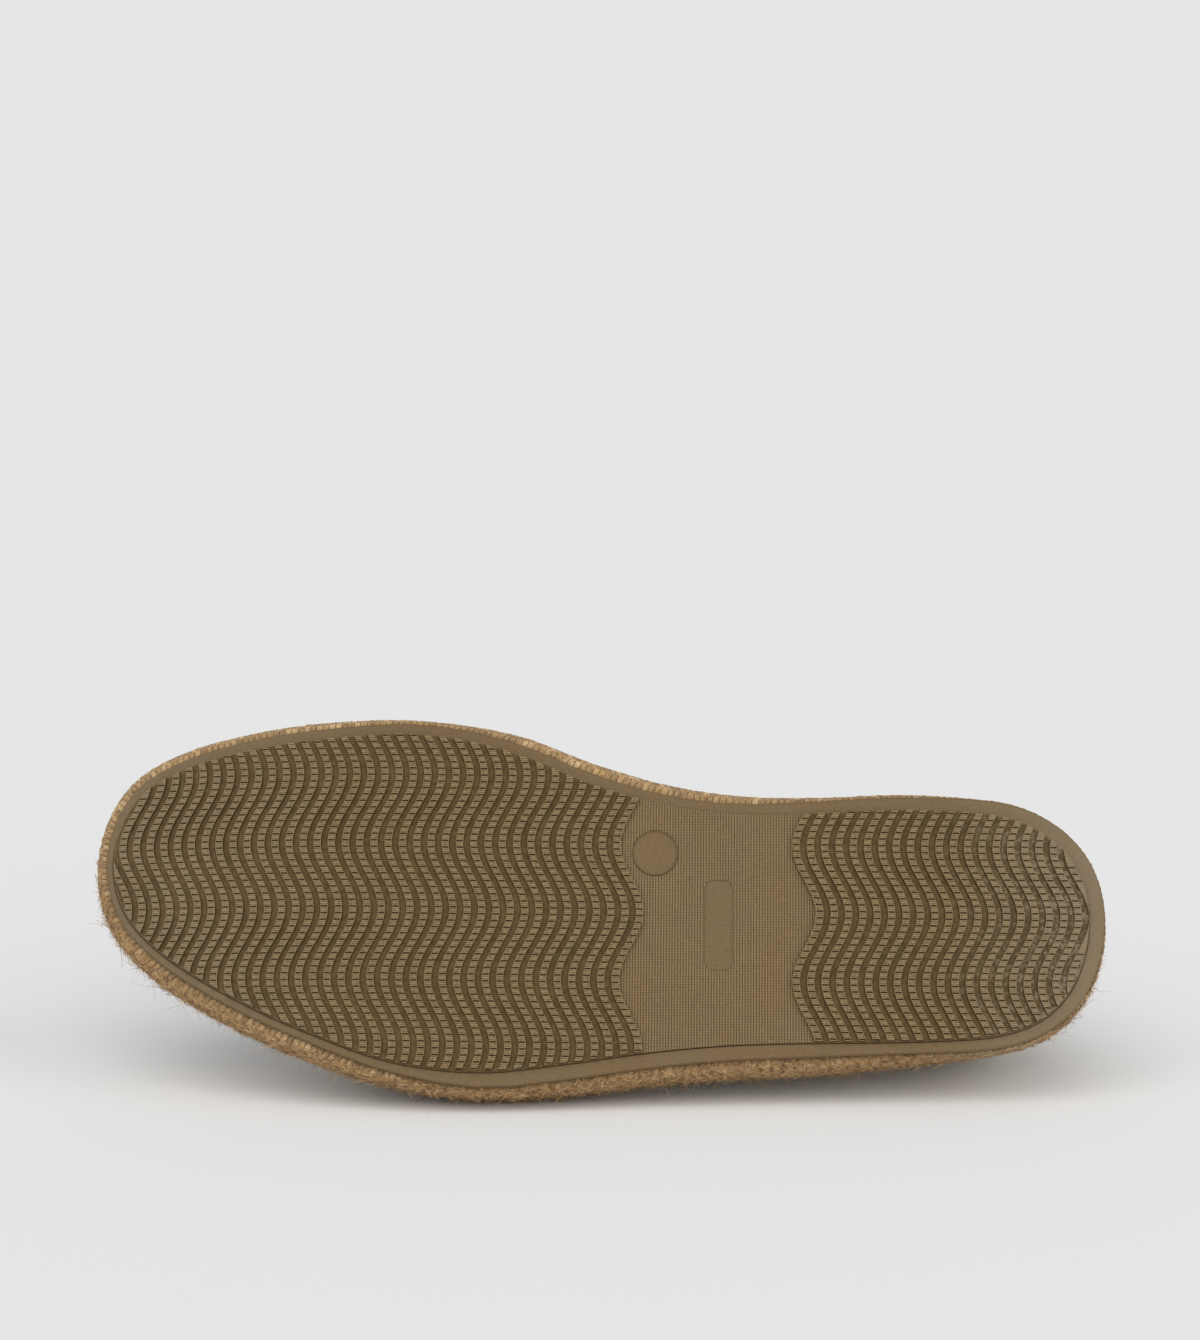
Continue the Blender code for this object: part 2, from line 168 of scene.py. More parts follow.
# Upper, section by section, as in the solids: the place on the last's edge where a section starts, the point
# on the collar or on the ridge of the instep where it ends, its flare, and the lengths of its two tangents
UPPER_COLUMNS = (
    "from_heel", "end_x", "end_medial", "end_lateral", "end_height",
    "flare", "rise", "reach", "drop",
)
UPPER_SECTIONS = (
    (0.0, 14.0, 0.0, 0.0, 59.0, 3.0, 0.45, 0.10, 0.35),
    (5.5, 16.5, 11.0, 11.5, 58.0, 2.8, 0.45, 0.10, 0.35),
    (15.0, 22.5, 18.5, 19.0, 55.0, 2.4, 0.45, 0.10, 0.35),
    (28.0, 33.0, 23.5, 24.0, 50.5, 2.0, 0.45, 0.12, 0.35),
    (42.0, 45.0, 25.5, 27.4, 47.0, 1.6, 0.45, 0.15, 0.35),
    (60.0, 61.0, 26.0, 29.2, 45.0, 1.2, 0.45, 0.20, 0.35),
    (84.0, 82.0, 25.5, 30.2, 44.5, 0.8, 0.45, 0.25, 0.32),
    (105.0, 100.0, 25.0, 30.4, 45.5, 0.4, 0.45, 0.30, 0.28),
    (126.0, 117.0, 23.5, 28.5, 48.5, 0.2, 0.47, 0.36, 0.22),
    (148.0, 134.0, 19.0, 22.5, 53.0, -0.8, 0.47, 0.41, 0.14),
    (162.0, 143.0, 13.0, 14.0, 56.0, -1.0, 0.47, 0.45, 0.07),
    (176.0, 147.5, 2.5, -2.5, 57.5, -1.0, 0.47, 0.47, 0.0),
    (197.0, 162.0, 3.0, -3.0, 53.5, -0.8, 0.48, 0.48, 0.0),
    (225.0, 195.0, 3.0, -3.0, 42.5, -0.2, 0.52, 0.52, 0.0),
    (252.0, 229.0, 2.0, -2.0, 32.5, 0.5, 0.55, 0.55, 0.0),
    (270.0, 249.0, 1.0, -1.0, 28.0, 0.8, 0.58, 0.58, 0.0),
    (281.0, 258.0, 0.4, -0.4, 26.0, 1.0, 0.60, 0.60, 0.0),
    (288.0, 261.0, 0.0, 0.0, 25.5, 1.0, 0.60, 0.60, 0.0),
)
THROAT_FROM_HEEL = 176.0

# Section of the jute, from under the rubber, round its edge and up its side to under the upper: share of the
# stand-out, the rest of its distance from the rubber's edge, and its height
JUTE_COLUMNS = ("share", "extra", "height")
JUTE_PROFILE = (
    (0.0, -3.0, 4.55),
    (0.0, 0.0, 4.55),
    (0.55, 0.0, 4.6),
    (0.95, -0.4, 5.6),
    (1.0, -0.1, 8.2),
    (1.0, -0.8, 11.9),
    (1.0, -0.1, 15.6),
    (1.0, -0.6, 18.2),
    (1.0, -1.5, 19.1),
    (1.0, -3.0, 19.2),
    (1.0, -8.0, 19.1),
)

# Rows of the plait: where each starts and ends on that section, counted in rows of the table above, its slant
# along the edge, its relief, and the mesh lines in it
PLAIT_COLUMNS = ("start", "end", "slant", "relief", "lines")
PLAIT_ROWS = (
    (0.0, 0.6, 0.0, 0.0, 1),
    (0.6, 2.35, 0.2, 1.0, 5),
    (2.35, 3.4, -0.7, 0.9, 4),
    (3.4, 4.15, 0.8, 0.8, 4),
    (4.15, 5.0, -0.8, 0.8, 4),
    (5.0, 5.85, 0.8, 0.8, 4),
    (5.85, 6.8, -0.8, 0.8, 4),
    (6.8, 9.0, 0.15, 1.0, 5),
    (9.0, 10.0, 0.0, 0.0, 1),
)

# Strands: spread of their strength, how much of it a mat takes, how even they are on the inner side, how full
# they are between their ends, and the form that lies level with the jute's section
STRAND_SPREAD = 0.16
MAT_LOSS = 0.55
CALM_SHARE = 0.6
CALM_FORM = 0.6
CALM_FADE = 0.5
STRAND_FULLNESS = 2.2
LEVEL_FORM = 0.4

# Loose jute fibres: name, how many, points in each, their share on the sheltered side, scatter of their
# slant, range of their lift off the jute in degrees, middle length and its spread, curl and radius
FIBRE_COLUMNS = (
    "name", "count", "points", "sheltered", "scatter",
    "low_lift", "high_lift", "length", "spread", "curl", "radius",
)
FIBRES = (
    ("jute_fuzz", 2300, 6, 0.006, 40.0, 5.0, 60.0, 1.7, 0.55, 0.6, 0.05),
    ("jute_lint", 9400, 4, 0.012, 22.0, 0.0, 14.0, 2.0, 0.45, 0.25, 0.095),
    ("jute_mat", 9300, 4, 0.0, 30.0, 2.0, 36.0, 1.5, 0.45, 0.5, 0.08),
)

# Slant of the fibres to either side in degrees, range of their length, the height that they stay above, and
# how squarely the jute's top, which has none, faces up
FIBRE_SLANT = 26.0
FIBRE_LENGTHS = (0.4, 9.0)
FIBRE_FLOOR = 0.25 * MM
TOP_FACING = 0.9

# Where the jute is rubbed to a mat of fibres: its outer side, by how far it faces out, from the heel to here
OUTER_FADE = 0.4
RUBBED_FROM_HEEL = 212.0 * MM
RUBBED_FADE = 22.0 * MM

# Lamps of the stage: name, power, size in degrees, and turn from straight down in degrees
LAMP_COLUMNS = ("name", "power", "softness", "turn_x", "turn_z")
LAMPS = (
    ("key", 1.503, 64.0, 40.0, -20.0),
    ("front", 0.66, 40.0, 72.0, 15.0),
    ("rake", 0.6, 40.0, 62.0, 60.0),
)


def unit(vectors):
    """Vectors along the last axis, made one long."""
    return vectors / np.linalg.norm(vectors, axis=-1, keepdims=True)


def running_length(points):
    """Distance along a line of points, from its first to each."""
    return np.concatenate([[0.0], np.cumsum(np.linalg.norm(np.diff(points, axis=0), axis=1))])


def smooth(stops, values, at):
    """Cubic curve through the values of a table column."""
    stops = np.asarray(stops, float)
    values = np.asarray(values, float)
    gap = np.diff(stops)
    slope = np.diff(values) / gap
    inner = (slope[:-1] * gap[1:] + slope[1:] * gap[:-1]) / (gap[1:] + gap[:-1])
    tangent = np.concatenate([slope[:1], inner, slope[-1:]])
    i = np.clip(np.searchsorted(stops, at) - 1, 0, len(gap) - 1)
    t = (at - stops[i]) / gap[i]
    start = values[i] * (1 + 2 * t) * (1 - t) ** 2 + tangent[i] * gap[i] * t * (1 - t) ** 2
    end = values[i + 1] * t * t * (3 - 2 * t) - tangent[i + 1] * gap[i] * t * t * (1 - t)
    return start + end


def angle_of(from_heel):
    """Turn a distance from the heel into an angle in which the round heel and toe are smooth."""
    share = np.clip(np.asarray(from_heel) * MM / SOLE_LENGTH, 0.0, 1.0)
    return np.arccos(1.0 - 2.0 * share)


def read_table(columns, rows, angles):
    """A table's columns by name, read along smooth curves at the given angles."""
    stops = angle_of([row[0] for row in rows])
    return {name: smooth(stops, [row[i] for row in rows], angles) for i, name in enumerate(columns)}


def spring(x):
    """Height of the toe spring at x."""
    return TOE_SPRING * np.clip((x - (SOLE_LENGTH - SPRING_RUN)) / SPRING_RUN, 0.0, None) ** 2


def sprung(flat, height):
    """Points at a height above the ground line, which rises with the toe spring."""
    return np.column_stack([flat, height + spring(flat[:, 0])])


def height_of(points):
    """Height of points above the ground line."""
    return points[:, 2] - spring(points[:, 0])


def both_sides(medial, lateral):
    """Values round the sole: heel to toe on the medial side, then back on the lateral side."""
    return np.concatenate([medial, lateral[-2:0:-1]])


def outline(angles):
    """Points round the rubber sole, their outward normals, the jute's stand-out and the rim's width there."""
    x = SOLE_LENGTH * (1.0 - np.cos(angles)) / 2.0
    read = read_table(SOLE_COLUMNS, SOLE_SECTIONS, angles)
    points = np.stack([both_sides(x, x), both_sides(read["medial"], -read["lateral"]) * MM], 1)
    along = np.roll(points, -1, 0) - np.roll(points, 1, 0)
    normals = unit(np.stack([-along[:, 1], along[:, 0]], 1))
    stand_out = both_sides(read["jute_medial"], read["jute_lateral"]) * MM
    return points, normals, stand_out, both_sides(read["rim_medial"], read["rim_lateral"]) * MM


def even_outline(count):
    """The outline at evenly spaced places round the jute's edge, and the length round it."""
    columns = np.column_stack(outline(np.linspace(0.0, math.pi, OUTLINE_SAMPLES)))
    columns = np.vstack([columns, columns[:1]])
    place = running_length(columns[:, :2] + columns[:, 2:4] * columns[:, 4:5])
    at = np.linspace(0.0, place[-1], count, endpoint=False)
    even = np.column_stack([np.interp(at, place, column) for column in columns.T])
    return even[:, :2], unit(even[:, 2:4]), even[:, 4], even[:, 5], place[-1]


def resting_pose():
    """Matrix from the shoe's own axes to the frame in which it lies."""
    sine, cosine = math.sin(SOLE_LEAN), math.cos(SOLE_LEAN)
    toe = Vector((-math.cos(TOE_LIFT), math.sin(TOE_LIFT) * sine, math.sin(TOE_LIFT) * cosine))
    top = Vector((0.0, cosine, -sine))
    pose = Matrix((toe, top.cross(toe), top)).transposed().to_4x4()
    pose.translation = HEEL_PLACE
    return pose


POSE = resting_pose()
POSE_TURN = np.array(POSE.to_3x3())
POSE_PLACE = np.array(POSE.translation)


def lie(points):
    """Points of the upright shoe, carried to the pose in which it lies."""
    return points @ POSE_TURN.T + POSE_PLACE


def stand(points):
    """Points of the lying shoe, carried back to the upright shoe."""
    return (points - POSE_PLACE) @ POSE_TURN


def read_vectors(items, name):
    """One vector of each vertex or face, as an array."""
    flat = np.empty(len(items) * 3)
    items.foreach_get(name, flat)
    return flat.reshape(-1, 3)


def coordinates(mesh):
    return read_vectors(mesh.vertices, "co")


def place_vertices(mesh, points):
    mesh.vertices.foreach_set("co", np.ascontiguousarray(points, np.float32).ravel())
    mesh.update()


def loop_vertices(mesh):
    """Number of the vertex at each face corner."""
    index = np.empty(len(mesh.loops), np.int32)
    mesh.loops.foreach_get("vertex_index", index)
    return index


def set_uv(mesh, name, values):
    """A UV map from one pair of values for each face corner."""
    layer = mesh.uv_layers.get(name) or mesh.uv_layers.new(name=name)
    layer.uv.foreach_set("vector", np.ascontiguousarray(values, np.float32).ravel())


def get_uv(mesh, name):
    flat = np.empty(len(mesh.loops) * 2, np.float32)
    mesh.uv_layers[name].uv.foreach_get("vector", flat)
    return flat.reshape(-1, 2)


def set_attribute(mesh, name, values):
    """A number at each vertex, which a material can read."""
    layer = mesh.attributes.get(name) or mesh.attributes.new(name, "FLOAT", "POINT")
    layer.data.foreach_set("value", np.ascontiguousarray(values, np.float32))


def get_attribute(mesh, name):
    values = np.empty(len(mesh.vertices), np.float32)
    mesh.attributes[name].data.foreach_get("value", values)
    return values


def new_object(name, mesh):
    obj = bpy.data.objects.new(name, mesh)
    bpy.context.scene.collection.objects.link(obj)
    return obj


def mesh_from(name, bm):
    mesh = bpy.data.meshes.new(name)
    bm.to_mesh(mesh)
    bm.free()
    return mesh


def rolled_grid(name, columns, lines, uv_name):
    """A grid to be rolled into a ring, and the column and line of each vertex.

    Its UV map holds the shares of the way round and across, from 0 to 1.
    """
    bm = bmesh.new()
    bm.loops.layers.uv.new(uv_name)
    bmesh.ops.create_grid(bm, x_segments=columns, y_segments=lines, size=0.5, calc_uvs=True)
    mesh = mesh_from(name, bm)
    share = coordinates(mesh)[:, :2] + 0.5
    column = np.rint(share[:, 0] * columns).astype(int) % columns
    return mesh, column, np.rint(share[:, 1] * lines).astype(int)


def close_ends(flat, column, line, turns):
    """Bring a rolled grid's first and last line to the middle of the sole, halfway across the next line."""
    last = line.max()
    for end, ring, turn in ((0, 1, turns[0]), (last, last - 1, turns[1])):
        edge = np.zeros((column.max() + 1, 2))
        edge[column[line == ring]] = flat[line == ring]
        opposite = edge[(2 * turn - np.arange(len(edge))) % len(edge)]
        flat[line == end] = ((edge + opposite) / 2.0)[column[line == end]]


def vertices_of(geometry):
    return [item for item in geometry if isinstance(item, bmesh.types.BMVert)]


def weld(mesh, distance):
    """Join the seams of a rolled grid and turn its faces outwards."""
    bm = bmesh.new()
    bm.from_mesh(mesh)
    bmesh.ops.remove_doubles(bm, verts=bm.verts, dist=distance)
    bmesh.ops.dissolve_degenerate(bm, dist=distance, edges=bm.edges)
    bmesh.ops.recalc_face_normals(bm, faces=bm.faces)
    bm.to_mesh(mesh)
    bm.free()


def apply_modifiers(obj):
    """Keep the mesh that the modifiers make, and drop them."""
    graph = bpy.context.evaluated_depsgraph_get()
    made = bpy.data.meshes.new_from_object(obj.evaluated_get(graph), depsgraph=graph)
    obj.modifiers.clear()
    obj.data = made


def finish_piece(obj, materials, nodes=()):
    """Give a piece its materials, and let it ride on the shoe in place of the solids it stands for."""
    obj.data.materials.clear()
    for item in materials:
        obj.data.materials.append(item)
    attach(obj, "root")
    if nodes:
        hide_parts(*nodes)


def new_material(name):
    """A material, its node tree and its shader."""
    made = bpy.data.materials.new(name)
    made.use_nodes = True
    return made, made.node_tree, made.node_tree.nodes["Principled BSDF"]


def set_inputs(tree, node, inputs):
    """Set a node's inputs to values, or link them to other nodes."""
    for socket, value in inputs.items():
        if isinstance(value, bpy.types.NodeSocket):
            tree.links.new(value, node.inputs[socket])
        else:
            node.inputs[socket].default_value = value


def add_node(tree, kind, inputs, **settings):
    """Add a node with its settings and its inputs."""
    node = tree.nodes.new(kind)
    for name, value in settings.items():
        setattr(node, name, value)
    set_inputs(tree, node, inputs)
    return node


def object_place(tree):
    return add_node(tree, "ShaderNodeTexCoord", {}).outputs["Object"]


def uv_axes(tree, name):
    """The two values of a UV map."""
    place = add_node(tree, "ShaderNodeUVMap", {}, uv_map=name).outputs[0]
    return add_node(tree, "ShaderNodeSeparateXYZ", {0: place}).outputs[:2]


def combine(tree, *parts):
    return add_node(tree, "ShaderNodeCombineXYZ", dict(enumerate(parts))).outputs[0]


def maths(tree, operation, first, second=0.0):
    return add_node(tree, "ShaderNodeMath", {0: first, 1: second}, operation=operation).outputs[0]


def weighted_sum(tree, first, first_weight, second, second_weight):
    first = maths(tree, "MULTIPLY", first, first_weight)
    return maths(tree, "ADD", first, maths(tree, "MULTIPLY", second, second_weight))


def mix_values(tree, factor, first, second):
    return add_node(tree, "ShaderNodeMix", {0: factor, 2: first, 3: second}).outputs[0]


def remap(tree, value, fade, shares):
    """Turn a value into a share that changes between two values."""
    sockets = ("Value", "From Min", "From Max", "To Min", "To Max")
    return add_node(tree, "ShaderNodeMapRange", dict(zip(sockets, (value, *fade, *shares)))).outputs[0]


def noise(tree, vector, scale, detail=2.0, roughness=0.5):
    sockets = {"Vector": vector, "Scale": scale, "Detail": detail, "Roughness": roughness}
    return add_node(tree, "ShaderNodeTexNoise", sockets).outputs["Fac"]


def mix_colour(tree, factor, first, second):
    return add_node(tree, "ShaderNodeMix", {0: factor, 6: first, 7: second}, data_type="RGBA").outputs[2]


def tint(tree, colour, value, fade, shares, other):
    """Mix another colour in by the share that a value gives."""
    return mix_colour(tree, remap(tree, value, fade, shares), colour, other)


def shade(colour, factor=1.0):
    """A colour for a node's socket, made lighter or darker."""
    return (*(channel * factor for channel in colour[:3]), 1.0)


def bump(tree, height, distance, strength):
    sockets = {"Height": height, "Distance": distance, "Strength": strength}
    return add_node(tree, "ShaderNodeBump", sockets).outputs[0]


def ripple(tree, value, pitch):
    """Rounded ridges of the given pitch, from 0 to 1, along a value."""
    turned = maths(tree, "MULTIPLY", value, math.pi / pitch)
    return maths(tree, "ABSOLUTE", maths(tree, "SINE", turned))


def rubber_material(name, settings, finish):
    """Moulded rubber: mottled; smooth; with a fine grid or cross lines, with painted shade in their hollows
    and painted highlight on their crests; or dusty and with painted shade, as in a groove.
    """
    made, tree, shader = new_material(name)
    place = object_place(tree)
    from_heel, across = uv_axes(tree, "sole")
    blotch = noise(tree, place, settings.blotch_scale, 4.0, 0.65)
    stain = noise(tree, place, settings.blotch_scale * 0.45, 2.0, 0.5)
    grain = noise(tree, place, settings.grain_scale, 2.0, 0.7)
    base = settings.colour
    colour = tint(tree, shade(base, 0.88), blotch, NOISE_RANGE, RISING, shade(base, 1.1))
    colour = tint(tree, colour, stain, (0.45, 0.7), (0.0, 0.5), shade(settings.stain_colour))
    colour = tint(tree, colour, grain, (0.35, 0.52), (0.5, 0.0), shade(base, 0.5))
    colour = tint(tree, colour, grain, (0.58, 0.72), (0.0, 0.4), shade(base, 1.5))
    height = grain
    depth = 0.05 * MM
    gloss = 0.25
    dustiness = (0.5, 1.0)
    if finish == "grid":
        pitch = settings.grid_pitch / MM
        weave = weighted_sum(tree, ripple(tree, from_heel, pitch), 0.76, ripple(tree, across, pitch), 0.24)
        # Painted shade in the grid's hollows, and a painted highlight in a lighter stain colour on its crests
        colour = tint(tree, colour, weave, (0.2, 0.65), (1.0, 0.0), shade(base, 0.3))
        colour = tint(tree, colour, weave, (0.7, 0.97), (0.0, 0.52), shade(settings.stain_colour, 1.8))
        height = weighted_sum(tree, grain, 0.2, weave, 1.0)
        depth = 0.15 * MM
    if finish == "lines":
        lines = ripple(tree, across, settings.line_pitch / MM)
        lines = maths(tree, "ADD", lines, remap(tree, grain, NOISE_RANGE, (-0.25, 0.25)))
        # Painted shade in the troughs of the fine lines, and a painted highlight on their crests
        colour = tint(tree, colour, lines, (0.0, 0.55), (0.9, 0.0), shade(base, 0.4))
        colour = tint(tree, colour, lines, (0.65, 1.05), (0.0, 0.65), shade(base, 1.65))
        height = weighted_sum(tree, grain, 0.6, lines, 0.6)
        depth = 0.09 * MM
    if finish == "smooth":
        colour = mix_colour(tree, 0.5, colour, shade(settings.stain_colour, 0.82))
    if finish == "groove":
        relief = add_node(tree, "ShaderNodeAttribute", {}, attribute_name="relief").outputs["Fac"]
        speckle = noise(tree, place, settings.grain_scale * 0.45, 3.0, 0.7)
        shade_and_dirt = shade(settings.wall_shade_and_dirt_colour)
        # Painted shade: the groove's floor is darkened towards the groove shade colour
        colour = tint(tree, colour, blotch, NOISE_RANGE, (0.95, 0.6), shade(settings.groove_shade_colour))
        colour = tint(tree, colour, speckle, (0.35, 0.5), (0.5, 0.0), shade_and_dirt)
        colour = tint(tree, colour, speckle, (0.5, 0.68), (0.0, 0.5), shade(base, 0.95))
        powder = remap(tree, from_heel, HEEL_POWDER, (0.0, 0.75))
        powder = maths(tree, "MULTIPLY", powder, remap(tree, speckle, (0.5, 0.62), RISING))
        colour = mix_colour(tree, powder, colour, shade(settings.dust_colour))
        # Painted shade: faces of low relief, the walls of the grooves and pads and the floor of the fine
        # groove by the rim, take the darker wall colour
        colour = tint(tree, shade_and_dirt, relief, (0.8, 0.97), RISING, colour)
        gloss = 0.08
        dustiness = (0.1, 0.3)
    heel_dust = remap(tree, from_heel, HEEL_DUST, (0.0, 0.38))
    dust = maths(tree, "MAXIMUM", heel_dust, remap(tree, from_heel, TOE_DUST, (0.0, 0.26)))
    dust = maths(tree, "MULTIPLY", dust, remap(tree, blotch, NOISE_RANGE, dustiness))
    surface = {
        "Base Color": mix_colour(tree, dust, colour, shade(settings.dust_colour)),
        "Roughness": remap(tree, blotch, NOISE_RANGE, (0.52, 0.7)),
        "Specular IOR Level": gloss,
        "Normal": bump(tree, height, depth, 0.9),
    }
    set_inputs(tree, shader, surface)
    return made


def jute_material(settings):
    """Jute strands: streaks of fibre along each strand, a tone of its own for each, and painted shade between
    the strands.
    """
    made, tree, shader = new_material("jute_plait")
    across, along = uv_axes(tree, "strands")
    number = combine(tree, maths(tree, "FLOOR", across), maths(tree, "FLOOR", along))
    dice = add_node(tree, "ShaderNodeTexWhiteNoise", {"Vector": number}, noise_dimensions="2D")
    chance = dice.outputs["Value"]
    twist = weighted_sum(tree, across, 9.0, along, 5.0)
    own_place = maths(tree, "MULTIPLY", chance, 40.0)
    streak = noise(tree, combine(tree, twist, maths(tree, "MULTIPLY", along, 2.2), own_place), 1.0, 3.0, 0.65)
    tone = weighted_sum(tree, chance, 0.5, noise(tree, object_place(tree), 55.0, 2.0, 0.5), 0.5)
    edge = maths(tree, "ABSOLUTE", maths(tree, "SUBTRACT", maths(tree, "FRACT", across), 0.5))
    pale = shade(settings.pale_colour)
    dark = shade(settings.shade_and_dark_fibre_colour)
    colour = tint(tree, shade(settings.colour, 0.85), tone, NOISE_RANGE, RISING, shade(settings.gold_colour))
    colour = tint(tree, colour, chance, (0.7, 0.95), (0.0, 0.7), pale)
    colour = tint(tree, colour, streak, (0.36, 0.47), (0.8, 0.0), dark)
    colour = tint(tree, colour, streak, (0.53, 0.64), (0.0, 0.8), pale)
    surface = {
        # Painted shade: darker towards each strand's edges, where the strands meet
        "Base Color": tint(tree, colour, edge, (0.4, 0.5), (0.0, 0.95), dark),
        "Roughness": 0.7,
        "Sheen Weight": 0.15,
        "Sheen Roughness": 0.5,
        "Normal": bump(tree, streak, 0.5 * MM, 1.0),
    }
    set_inputs(tree, shader, surface)
    return made


def fibre_material(name, settings):
    """Loose jute fibres, some pale, some golden and some dark, in lighter and darker clumps."""
    made, tree, shader = new_material(name)
    tone = add_node(tree, "ShaderNodeAttribute", {}, attribute_name="tone").outputs["Fac"]
    clump = noise(tree, object_place(tree), settings.clump_scale, 1.0, 0.5)
    pale = shade(settings.pale_colour)
    colour = tint(tree, shade(settings.fibre_colour), tone, (0.45, 0.95), RISING, pale)
    colour = tint(tree, colour, tone, (0.12, 0.4), (0.95, 0.0), shade(settings.colour, 0.55))
    colour = tint(tree, colour, clump, (0.34, 0.46), (0.7, 0.0), shade(settings.shade_and_dark_fibre_colour, 1.5))
    colour = tint(tree, colour, clump, (0.56, 0.68), (0.0, 0.6), pale)
    set_inputs(tree, shader, {"Base Color": colour, "Roughness": 0.6})
    return made


def cloth_material(name, colour, pitch, slub):
    """Plain-woven cloth: threads over and under each other, uneven in tone along their length, with painted
    shade where a thread dips under its neighbour.
    """
    made, tree, shader = new_material(name)
    warp, weft = (maths(tree, "DIVIDE", value, pitch / MM) for value in uv_axes(tree, "cloth"))
    warp_number = maths(tree, "FLOOR", warp)
    weft_number = maths(tree, "FLOOR", weft)
    over = maths(tree, "ABSOLUTE", maths(tree, "MODULO", maths(tree, "ADD", warp_number, weft_number), 2.0))
    height = mix_values(tree, over, ripple(tree, warp, 1.0), ripple(tree, weft, 1.0))
    warp_place = combine(tree, warp_number, maths(tree, "MULTIPLY", weft, SLUB_STRETCH))
    weft_place = combine(tree, maths(tree, "MULTIPLY", warp, SLUB_STRETCH), weft_number, 7.0)
    tone = mix_values(tree, over, noise(tree, warp_place, 0.9), noise(tree, weft_place, 0.9))
    threads = tint(tree, shade(colour, 1.0 - slub), tone, NOISE_RANGE, RISING, shade(colour, 1.0 + slub))
    surface = {
        # Painted shade where the threads dip, between their crests
        "Base Color": tint(tree, threads, height, (0.1, 0.6), (0.55, 0.0), shade(colour, 0.45)),
        "Roughness": 0.9,
        "Sheen Weight": 0.1,
        "Normal": bump(tree, height, 0.3 * MM, 0.7),
    }
    set_inputs(tree, shader, surface)
    return made


def thread_material(name, colour):
    """Twisted sewing thread, with painted shade in the grooves between its plies."""
    made, tree, shader = new_material(name)
    waves = {"Vector": object_place(tree), "Scale": 350.0, "Distortion": 1.5, "Detail": 1.0}
    ply = add_node(tree, "ShaderNodeTexWave", waves, bands_direction="DIAGONAL").outputs["Fac"]
    # Painted shade in the grooves between the plies
    tone = mix_colour(tree, ply, shade(colour, 0.7), shade(colour, 1.05))
    relief = bump(tree, ply, 0.15 * MM, 0.6)
    set_inputs(tree, shader, {"Base Color": tone, "Roughness": 0.8, "Normal": relief})
    return made


def pattern_of(points):
    """Place in the turned tread pattern, along and across, of points of the upright shoe."""
    along = points[:, 0] * math.cos(TREAD_TURN) - points[:, 1] * math.sin(TREAD_TURN)
    across = points[:, 0] * math.sin(TREAD_TURN) + points[:, 1] * math.cos(TREAD_TURN)
    return along, across


def wave(across):
    """How far the wavy ridges swing towards the toe."""
    return WAVE_HEIGHT * np.cos(2.0 * math.pi * (across - WAVE_CREST) / WAVE_LENGTH)


def tread_points(along, across, height):
    """Points of the upright shoe at places in the tread pattern, lifted along the toe spring."""
    x = along * math.cos(TREAD_TURN) + across * math.sin(TREAD_TURN)
    y = across * math.cos(TREAD_TURN) - along * math.sin(TREAD_TURN)
    return sprung(np.column_stack([x, y]), height)


def cut_bars(name, bars, segments, depth, draft):
    """Closed bars that cut grooves: each runs from a start to an end and widens towards the ground."""
    bm = bmesh.new()
    for start, end, low, high in bars:
        made = bmesh.ops.create_grid(bm, x_segments=1, y_segments=segments, size=0.5)
        floor = list({face for vert in made["verts"] for face in vert.link_faces})
        raised = bmesh.ops.extrude_face_region(bm, geom=floor)["geom"]
        mouth = set(vertices_of(raised))
        verts = [*made["verts"], *mouth]
        share = np.array([vert.co[:2] for vert in verts]) + 0.5
        opening = np.array([vert in mouth for vert in verts])
        widen = np.where(opening, draft * 2.0, 0.0) * np.sign(share[:, 0] - 0.5)
        width = start + share[:, 0] * (end - start) + widen
        length = low + share[:, 1] * (high - low)
        points = tread_points(width + wave(length), length, np.where(opening, -depth, depth))
        for vert, point in zip(verts, lie(points)):
            vert.co = point
    bmesh.ops.recalc_face_normals(bm, faces=bm.faces)
    return new_object(name, mesh_from(name, bm))


def notch_bars(settings, pads, ridges):
    """Places of the short notches along the ridges, where the pads are wide enough for them."""
    count = round(TREAD_REACH / settings.notch_pitch)
    half = settings.notch_width / 2.0
    bars = []
    for low, high in ridges:
        for i in range(-count, count + 1):
            middle = i * settings.notch_pitch
            bar = (low + settings.notch_margin, high - settings.notch_margin, middle - half, middle + half)
            corners = np.array([(side, end) for side in bar[:2] for end in bar[2:]])
            places = lie(tread_points(corners[:, 0] + wave(corners[:, 1]), corners[:, 1], 0.0))
            if all(pads.find_nearest(place)[3] < FACE_SLACK for place in places):
                bars.append(bar)
    return bars


def rim_line(settings):
    """A closed ring that cuts the fine groove between the rim and the panel inside it."""
    points, normals, _, rim, _ = even_outline(RIM_LINE_POINTS)
    sides = np.array([settings.line_width, 0.0, 0.0, settings.line_width]) + LINE_INSET
    outer = np.clip(0.5 - normals[:, 1] / LINE_FADE, 0.0, 1.0)
    deep = outer * (settings.line_depth + FACE_SLACK) - FACE_SLACK
    mesh, column, line = rolled_grid("rim_line", RIM_LINE_POINTS, len(sides), "ring")
    line %= len(sides)
    flat = points[column] + normals[column] * (sides[line] - rim[column])[:, None]
    height = RIM_FACE + np.where(line < 2, deep[column], -LINE_REACH)
    place_vertices(mesh, lie(sprung(flat, height)))
    weld(mesh, CUTTER_WELD)
    return new_object("rim_line", mesh)


def round_off(bm, items, radius, steps, affect):
    """Round the corners or the edges of a panel."""
    bmesh.ops.bevel(
        bm, geom=list(items), offset=radius, segments=steps, profile=0.5, affect=affect, material=-1
    )


